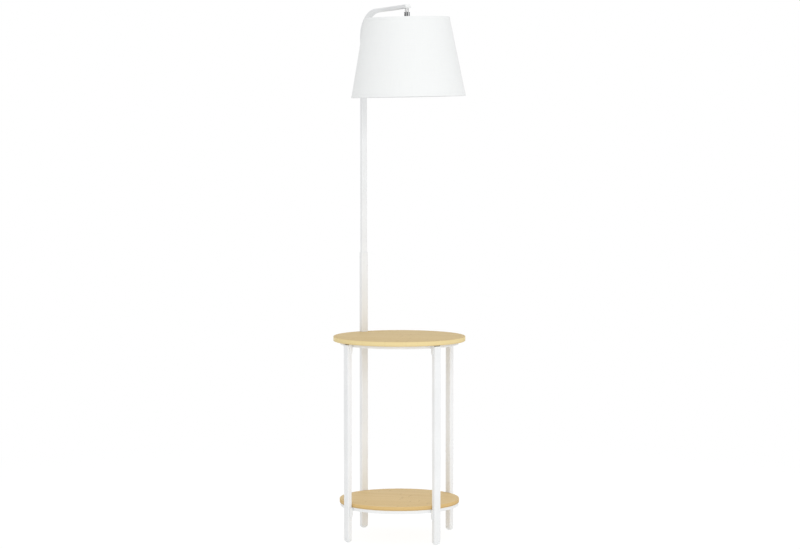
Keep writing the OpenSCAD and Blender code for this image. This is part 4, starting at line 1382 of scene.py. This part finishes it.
@dataclass
class Holder:
    """The lamp holder and the bulb, about the swivel's own axis."""

    at: Placing
    finishes: Finishes
    bore_r: float = 4.05
    cap_top: float = -9.3
    cap_r: float = 19.5
    cap_h: float = 28.7
    cap_dome: float = 14.7
    cap_wall: float = 1.6
    cap_neck: float = 9.36
    grooves: int = 24
    groove_depth: float = 0.45
    groove_start: float = 25.0
    groove_end: float = 37.0
    groove_fade: float = 1.5
    body_top: float = -24.5
    plug_r: float = 17.7
    shoulder_r: float = 22.5
    shoulder_t: float = 3.0
    skirt_r: float = 19.6
    skirt_len: float = 25.0
    skirt_pitch: float = 3.0
    skirt_thread: float = 0.6
    shell_r: float = 14.0
    shell_t: float = 0.35
    shell_top: float = -32.5
    shell_in: float = 5.0
    fitter_t: float = 1.5
    collar_r: float = 26.0
    collar_wall: float = 3.0
    collar_h: float = 7.5
    collar_flange: float = 2.0
    flutes: int = 20
    flute_depth: float = 0.7
    gap: float = 0.05
    screw_pitch: float = 3.6
    screw_wave: float = 0.3
    base_r: float = 13.25
    base_top: float = -36.65
    base_rim_in: float = 6.0
    neck_r: float = 12.65
    globe_r: float = 30.0
    bulb_len: float = 82.0
    fillet_r: float = 40.0
    tip_r: float = 7.5
    tip_end_r: float = 4.2
    tip_h: float = 2.4

    def __post_init__(self) -> None:
        """Works out the heights that follow from the sizes."""
        self.cap_bottom = self.cap_top - self.cap_h
        self.shoulder_z = self.cap_bottom - self.shoulder_t
        self.skirt_end = self.shoulder_z - self.skirt_len
        self.globe_z = self.skirt_end - self.bulb_len + self.globe_r

    def cap(self) -> Shell:
        """The cap: a quarter ellipse over a straight side, with shallow grooves down the side.

        Returns:
            The surface.
        """
        share = np.linspace(0, 1, 20)
        bulge = np.sqrt(1 - (1 - share) ** 2)
        outer = np.stack([self.cap_neck + (self.cap_r - self.cap_neck) * bulge,
                          self.cap_top - self.cap_dome * share], -1)
        side = np.stack([np.full(14, self.cap_r), np.linspace(self.cap_top - self.cap_dome - 1,
                                                              self.cap_bottom, 14)], -1)
        inner = outer[::-1] - np.array([self.cap_wall, self.cap_wall * 0.4])
        inner[:, 0] = np.minimum(inner[:, 0], self.cap_r - self.cap_wall)
        profile = np.concatenate([[(self.bore_r, self.cap_top)], outer, side,
                                  [(self.cap_r - self.cap_wall, self.cap_bottom)], inner,
                                  [(self.bore_r, self.cap_top - self.cap_wall)]])
        sides, down = 192, -profile[:, 1]
        on_side = (smooth_step(down, self.groove_start, self.groove_start + self.groove_fade)
                   * (1 - smooth_step(down, self.groove_end - self.groove_fade, self.groove_end))
                   * (profile[:, 0] > self.cap_r - 0.1))
        ripple = np.maximum(np.cos(self.grooves * round_angles(sides)), 0) ** 2
        return lathe(profile, sides, Ends.LOOP, -self.groove_depth * on_side[:, None] * ripple)

    def body(self) -> Shell:
        """The body: a plug in the cap, a shoulder, a threaded skirt and the bore for the screw shell.

        Returns:
            The surface.
        """
        corners = [(0.5, self.body_top), (self.plug_r, self.body_top), (self.plug_r, self.cap_bottom),
                   (self.shoulder_r, self.cap_bottom), (self.shoulder_r, self.shoulder_z),
                   (self.skirt_r, self.shoulder_z)]
        upper = rounded(corners, [0.1, 0.8, 0.2, 0.6, 0.4, 0.1], 5, closed=False)
        rows, sides = 60, 96
        skirt_z = np.linspace(self.shoulder_z - 0.3, self.skirt_end, rows)
        skirt = np.stack([np.full(rows, self.skirt_r), skirt_z], -1)
        bore_r = self.shell_r + self.gap
        bore = [(bore_r, self.skirt_end), (bore_r, self.shell_top), (0.5, self.shell_top)]
        profile = np.concatenate([upper, skirt, bore])
        on_skirt = np.zeros((len(profile), 1))
        on_skirt[len(upper):len(upper) + rows, 0] = np.sin(np.linspace(0, 1, rows) * math.pi) ** 0.3
        wave = self.wave(profile[:, 1], sides, self.skirt_pitch)
        swell = on_skirt * (smooth_step(wave, -0.7, 0.7) - 1) * self.skirt_thread
        return lathe(profile, sides, Ends.FAN, swell)

    @staticmethod
    def wave(height: Array, sides: int, pitch: float) -> Array:
        """A screw thread's wave: the cosine of the height in pitches less the turn."""
        return np.cos(TAU * height[:, None] / pitch - round_angles(sides))

    def screw_shell(self) -> Shell:
        """The rolled screw shell: both faces wave together, a sheet's thickness apart.

        Returns:
            The surface.
        """
        rows, sides = 48, 96
        height = np.linspace(self.skirt_end + self.shell_in, self.shell_top, rows)
        outer = np.stack([np.full(rows, self.shell_r - self.screw_wave), height], -1)
        profile = np.concatenate([outer, outer[::-1] - np.array([self.shell_t, 0])])
        swell = self.screw_wave * self.wave(profile[:, 1], sides, self.screw_pitch)
        return lathe(profile, sides, Ends.LOOP, swell)

    def collar(self) -> Shell:
        """The threaded collar: a flange over a ring with finger flutes.

        Returns:
            The surface.
        """
        top = self.shoulder_z - self.fitter_t
        low, outer, under = top - self.collar_h, self.skirt_r + self.collar_wall, top - self.collar_flange
        bore = self.skirt_r + self.gap
        corners = [(bore, top), (self.collar_r, top), (self.collar_r, under), (outer, under), (outer, low),
                   (bore, low)]
        profile = rounded(corners, [0.3, 0.6, 0.6, 0.2, 0.8, 0.3], 5)
        sides = 240
        on_ring = (np.abs(profile[:, 0] - outer) < 0.9) * smooth_step(under - profile[:, 1], 0, 0.6)
        ripple = np.maximum(np.cos(self.flutes * round_angles(sides)), 0) ** 1.5
        return lathe(profile, sides, Ends.LOOP, -self.flute_depth * on_ring[:, None] * ripple)

    def glass(self) -> Shell:
        """The globe: a sphere's arc, then a hollow arc that is tangent to the sphere and to the neck.

        Returns:
            The surface.
        """
        reach = self.neck_r + self.fillet_r
        rise = math.sqrt((self.globe_r + self.fillet_r) ** 2 - reach ** 2)
        meet = math.atan2(rise, reach)
        globe = (0, self.globe_z) + self.globe_r * unit(np.linspace(-TAU / 4 + 0.03, meet, 72))
        hollow = (reach, self.globe_z + rise) - self.fillet_r * unit(np.linspace(meet, 0, 16)[1:])
        neck_top = self.skirt_end + self.base_rim_in + 4
        neck = [(self.neck_r, neck_top), (self.neck_r - 1, neck_top + 0.5)]
        return lathe(np.concatenate([globe, hollow, neck]), 96, Ends.FAN)

    def base(self) -> Shell:
        """The bulb's screw cap: a flared rim, the rolled thread and a cone to the insulator.

        Returns:
            The surface.
        """
        rim, rows, sides = self.skirt_end + self.base_rim_in, 54, 96
        lip = [(self.neck_r + 0.1, rim), (self.base_r, rim), (self.base_r, rim + 0.8)]
        straight = np.stack([np.full(rows, self.base_r - self.screw_wave),
                             np.linspace(rim + 2.2, self.base_top - 3.2, rows)], -1)
        cone = [(self.base_r - 1.6, self.base_top - 1.6), (self.tip_r + 1.2, self.base_top),
                (0.4, self.base_top)]
        profile = np.concatenate([lip, straight, cone])
        on_thread = np.zeros((len(profile), 1))
        on_thread[len(lip):len(lip) + rows, 0] = np.sin(np.linspace(0, 1, rows) * math.pi) ** 0.25
        swell = self.screw_wave * on_thread * self.wave(profile[:, 1], sides, self.screw_pitch)
        return lathe(profile, sides, Ends.FAN, swell)

    def tip(self) -> Shell:
        """The bulb's end contact: a low cone with a rounded drop of solder.

        Returns:
            The surface.
        """
        swing = np.linspace(0.05, 1, 8) * TAU / 4
        drop = np.stack([self.tip_end_r * np.sin(swing),
                         self.base_top + self.tip_h - 0.9 * (1 - np.cos(swing))], -1)
        profile = np.concatenate([drop, [(self.tip_r, self.base_top + 0.2), (self.tip_r, self.base_top)]])
        return lathe(profile, 48, Ends.FAN)

    def build(self) -> None:
        """Makes and dresses the holder and the bulb."""
        place = self.at.hung()
        for name, shell, slot, node in (
                ("holder_cap_moulding", self.cap(), Slot.HOLDER, "holder_cap"),
                ("holder_body_moulding", self.body(), Slot.HOLDER, "holder_body"),
                ("rolled_screw_shell", self.screw_shell(), Slot.BRASS, "holder_screw_shell"),
                ("fluted_collar", self.collar(), Slot.HOLDER, "collar_ring"),
                ("globe_glass", self.glass(), Slot.GLASS, "bulb_glass"),
                ("bulb_screw_cap", self.base(), Slot.BRASS, "bulb_base"),
                ("bulb_contact", self.tip(), Slot.ZINC, "bulb_tip")):
            self.finishes.piece(name, [shell.moved(place)], slot, Body.LAMP, node)
        self.finishes.dress(Slot.BRASS, "holder_centre_contact")
        self.finishes.dress(Slot.SHEATH, "lamp_lead")


@dataclass
class Shade:
    """The drum shade: stiffened fabric between two folded tapes, on a spider and two wires."""

    at: Placing
    finishes: Finishes
    top_r: float = 128.2
    bottom_r: float = 172.4
    height: float = 236.5
    drop: float = 13.3
    cover_t: float = 0.9
    trim_t: float = 0.4
    trim_h: float = 8.0
    cloth_gap: float = 0.1
    wire_r: float = 1.5
    wire_gap: float = 0.35
    fitter_r: float = 27.5
    fitter_bore: float = 19.9
    fitter_t: float = 1.5
    fitter_top: float = -41.0
    arm_start: float = 23.8
    arms: int = 3
    weld_r: float = 2.0
    weld_half_h: float = 1.9
    seam_at: float = 120.0
    seam_w: float = 9.0
    seam_t: float = 0.35
    seam_step: float = 2.6
    seam_ease: tuple[float, float] = (4.0, 30.0)
    sides: int = 360

    def __post_init__(self) -> None:
        """Works out the shade's two edges and its slope."""
        self.top = -self.drop
        self.bottom = self.top - self.height
        self.slope = (self.bottom_r - self.top_r) / self.height
        self.slant = math.hypot(self.height, self.bottom_r - self.top_r)

    def radius(self, height: Array) -> Array:
        """The tapes' outer radius at a height."""
        return self.top_r + (self.top - height) * self.slope

    def ring_r(self, height: float) -> float:
        """The middle radius of a wire that lies inside the cover."""
        cloth = self.trim_t + self.cover_t + 2 * self.cloth_gap
        return self.radius(height) - cloth - self.wire_r - self.wire_gap

    def wrap(self, piece: bpy.types.Object, profile: Array) -> None:
        """Lays the cloth's map on a turned piece: round it by the middle radius, and along its profile.

        Args:
            piece: The piece.
            profile: The profile that was turned.
        """
        middle_round = math.pi * (self.top_r + self.bottom_r)
        along = np.tile(np.arange(self.sides) / self.sides * middle_round, len(profile))
        up = np.concatenate([[0], np.cumsum(np.linalg.norm(np.diff(profile, axis=0), axis=1))])
        lay_cloth(piece, along, np.repeat(up, self.sides), middle_round)

    def cover(self) -> None:
        """The fabric: a cone wall with a lapped seam at the back, where the outer face stands higher."""
        inset = self.trim_t + self.cloth_gap
        height = np.linspace(self.bottom + inset, self.top - inset, 28)
        outer = np.stack([self.radius(height) - inset, height], -1)
        inner = outer[::-1] - np.array([self.cover_t, 0])
        profile = np.concatenate([outer, inner])
        away = (np.degrees(round_angles(self.sides)) - self.seam_at + 180) % 360 - 180
        reach = np.radians(away) * (self.top_r + self.bottom_r) / 2
        ease = self.seam_w + np.array(self.seam_ease)
        lap = smooth_step(reach, 0, self.seam_step) * (1 - smooth_step(reach, *ease))
        above = profile[:, 1] - self.bottom - self.trim_h
        below = self.top - self.trim_h - profile[:, 1]
        clear_of_tapes = smooth_step(above, 0, 4) * smooth_step(below, 0, 4)
        faces_out = np.arange(len(profile)) < len(outer)
        swell = self.seam_t * (clear_of_tapes * faces_out)[:, None] * lap
        shell = lathe(profile, self.sides, Ends.LOOP, swell).moved(self.at.hung())
        piece = self.finishes.piece("shade_fabric_wall", [shell], Slot.FABRIC, Body.LAMP, "shade_cover")
        self.wrap(piece, profile)
        self.tapes()

    def tapes(self) -> None:
        """The tapes: a strip folded over each edge, with a rounded fold."""
        for name, node, edge, up in (("shade_top_tape", "shade_top_trim", self.top, 1),
                                     ("shade_bottom_tape", "shade_bottom_trim", self.bottom, -1)):
            lap, fold = edge - up * self.trim_h, edge - up * self.trim_t
            inner = self.trim_t + self.cover_t + 2 * self.cloth_gap
            corners = [(self.radius(edge), edge), (self.radius(lap), lap),
                       (self.radius(lap) - self.trim_t, lap), (self.radius(fold) - self.trim_t, fold),
                       (self.radius(fold) - inner, fold), (self.radius(edge) - inner, edge)]
            profile = rounded(corners, [0.35, 0.15, 0.1, 0.05, 0.05, 0.18], 4)
            shell = lathe(profile, self.sides).moved(self.at.hung())
            self.wrap(self.finishes.piece(name, [shell], Slot.TAPE, Body.LAMP, node, 60.0), profile)

    def frame(self) -> None:
        """The spider: a fitter washer, wire arms that rise to the top wire, and their welds."""
        low = self.fitter_top - self.fitter_t
        washer = rounded([(self.fitter_bore, low), (self.fitter_r, low), (self.fitter_r, self.fitter_top),
                          (self.fitter_bore, self.fitter_top)], 0.3, 4)
        wire_z = self.top - self.trim_t - self.cloth_gap - self.wire_r
        ring = self.ring_r(wire_z)
        ends = np.array([(self.arm_start, 0, self.fitter_top + 0.6 * self.wire_r), (ring, 0, wire_z)])
        arm = wire(evenly(ends, 12), self.wire_r, (0, 1, 0))
        weld = bead(self.weld_r, self.weld_half_h, 9, 16).moved(shift(ring - 0.6, 0, wire_z - 0.4))
        shells = [lathe(washer, 96), self.round_wire(ring, wire_z)]
        for number in range(self.arms):
            place = turn(Axis.Z, number * 360 / self.arms)
            shells += [arm.moved(place), weld.moved(place)]
        low_z = self.bottom + self.trim_t + self.cloth_gap + self.wire_r
        for name, node, made in (("shade_wire_frame", "shade_spider", shells),
                                 ("shade_low_wire", "shade_bottom_wire",
                                  [self.round_wire(self.ring_r(low_z), low_z)])):
            placed = [shell.moved(self.at.hung()) for shell in made]
            self.finishes.piece(name, placed, Slot.PAINT, Body.LAMP, node)

    def round_wire(self, radius: float, height: float) -> Shell:
        """A closed wire ring: a circle turned about the shade's axis."""
        return lathe((radius, height) + self.wire_r * unit(round_angles(16)), 240)

    def build(self) -> None:
        """Makes and dresses the shade."""
        self.frame()
        self.cover()


# ---- Studio ----


@dataclass(frozen=True)
class SoftLight:
    """A square soft light that faces a point, in metres and watts."""

    name: str
    place: tuple[float, float, float]
    size: float
    power: float
    towards: tuple[float, float, float] = (0, 0, 0.9)

    def build(self) -> None:
        """Hangs it and turns it to its point."""
        data = bpy.data.lights.new(self.name, "AREA")
        data.size, data.energy = self.size, self.power
        lamp = bpy.data.objects.new(self.name, data)
        lamp.location = self.place
        x, y, z = np.subtract(self.towards, self.place)
        lamp.rotation_euler = (math.atan2(math.hypot(x, y), -z), 0, math.atan2(-x, y))
        bpy.context.scene.collection.objects.link(lamp)


@dataclass
class Studio:
    """A white room, in metres: the floor, the soft lights, the world, the camera and three dark cards."""

    camera_at: tuple[float, float, float] = (1.250, -7.438, 1.304)
    camera_tilt: float = 3.835
    camera_turn: float = 9.525
    lens: float = 112.4
    lights: tuple[SoftLight, ...] = (SoftLight("key_front", (2.0, -5.5, 1.7), 3.5, 75),
                                     SoftLight("fill_right", (5.0, -1.5, 1.7), 3.0, 8))
    ambient: float = 0.88
    floor_r: float = 6.0
    floor_shadow: tuple[float, float] = (0.5, 2.2)
    floor_seen: tuple[float, float] = (0.12, 0.92)
    floor_lit: tuple[float, float] = (0.5, 0.45)
    flag_r: float = 3.4
    flag_z: tuple[float, float] = (0.1, 3.2)
    flags: tuple[tuple[str, float, float], ...] = (("left", 153, 229), ("near_camera", -96, -44),
                                                   ("right", 0, 64))

    def camera(self) -> None:
        """The camera at the photograph's viewing angle."""
        data = bpy.data.cameras.new("camera")
        data.lens, data.sensor_width = self.lens, 36.0
        data.clip_end = 100.0
        camera = bpy.data.objects.new("camera", data)
        camera.location = self.camera_at
        camera.rotation_euler = (math.radians(90 - self.camera_tilt), 0, math.radians(self.camera_turn))
        bpy.context.scene.collection.objects.link(camera)
        bpy.context.scene.camera = camera

    def world(self) -> None:
        """White to the camera and in reflections, and an even ambient light on surfaces."""
        world = bpy.data.worlds.new("white_room")
        world.use_nodes = True
        bpy.context.scene.world = world
        tree = Tree(world.node_tree)
        even, white = tree.nodes["Background"], tree.nodes.new("ShaderNodeBackground")
        for node, strength in ((even, self.ambient), (white, 1.0)):
            tree.feed((1, 1, 1, 1), node.inputs["Color"])
            tree.feed(strength, node.inputs["Strength"])
        both = tree.mix(tree.seen_rays(), even.outputs[0], white.outputs[0])
        tree.feed(both, tree.nodes["World Output"].inputs[0])

    def stand(self, name: str, points: Array, faces: Array, material: bpy.types.Material) -> bpy.types.Object:
        """Puts up a thing that isn't part of the lamp.

        Args:
            name: Its name.
            points: Its points.
            faces: Its faces, as point numbers.
            material: What it is made of.

        Returns:
            The new object.
        """
        mesh = bpy.data.meshes.new(name)
        mesh.from_pydata(points.tolist(), [], faces.tolist())
        mesh.materials.append(material)
        thing = bpy.data.objects.new(name, mesh)
        bpy.context.scene.collection.objects.link(thing)
        return thing

    def floor(self) -> None:
        """A pale disc that keeps a soft shadow near the feet, and isn't seen from below.

        What is seen turns from a shader that takes the shadow to an even glow as the distance from the lamp
        grows. Other rays meet a plain pale floor.
        """
        graph = Graph("studio_floor")
        kinds = ("Emission", "BsdfPrincipled", "BsdfTransparent", "NewGeometry")
        glow, plain, clear, geometry = (graph.nodes.new(f"ShaderNode{kind}") for kind in kinds)
        for shader, (grey, light) in ((graph.shader, self.floor_seen), (plain, self.floor_lit)):
            for name, value in (("Base Color", (grey, grey, grey, 1)), ("Roughness", 0.9),
                                ("Specular IOR Level", 0.0), ("Emission Color", (1, 1, 1, 1)),
                                ("Emission Strength", light)):
                graph.feed(value, shader.inputs[name])
        x, y, _ = graph.parts(graph.place())
        squares = graph.calc("ADD", graph.calc("POWER", x, 2.0), graph.calc("POWER", y, 2.0))
        far = graph.step(graph.calc("SQRT", squares), *self.floor_shadow)
        shown = graph.mix(far, graph.shader.outputs[0], glow.outputs[0])
        by_ray = graph.mix(graph.seen_rays(), plain.outputs[0], shown)
        graph.feed(graph.mix(geometry.outputs["Backfacing"], by_ray, clear.outputs[0]),
                   graph.nodes["Material Output"].inputs[0])
        rim = self.floor_r * np.pad(unit(round_angles(96)), ((0, 0), (0, 1)))
        self.stand("floor", rim, np.arange(len(rim))[None], graph.material)

    def flag(self, name: str, start: float, stop: float) -> None:
        """A black card that only mirrors see: an upright strip on an arc, between two angles seen from above.

        Args:
            name: Its name.
            start: The first angle in degrees, from X towards Y.
            stop: The last angle.
        """
        graph = Graph("black_card")
        graph.set(Base_Color=(0.02, 0.02, 0.02, 1), Roughness=0.9, Specular_IOR_Level=0.0)
        arc = self.flag_r * unit(np.radians(np.linspace(start, stop, 24)))
        points = np.concatenate([np.pad(arc, ((0, 0), (0, 1)), constant_values=z) for z in self.flag_z])
        first = np.arange(len(arc) - 1)
        faces = np.stack([first, first + 1, first + 1 + len(arc), first + len(arc)], -1)
        card = self.stand(f"studio_flag_{name}", points, faces, graph.material)
        card.visible_camera = card.visible_diffuse = card.visible_shadow = card.visible_transmission = False

    def build(self) -> None:
        """Sets the studio up."""
        bpy.context.scene.view_settings.view_transform = "Standard"
        self.camera()
        self.world()
        self.floor()
        for light in self.lights:
            light.build()
        for flag in self.flags:
            self.flag(*flag)


def main() -> None:
    """Builds the studio and the lamp, sub-assembly by sub-assembly."""
    logging.basicConfig(level=logging.INFO, format="%(name)s: %(message)s")
    Studio().build()
    place, finishes = Placing(), Finishes()
    for part in (Table, Pole, Swivel, Holder, Shade):
        part(place, finishes).build()
        LOG.info("%s done", part.__name__)


if __name__ == "__main__":
    main()
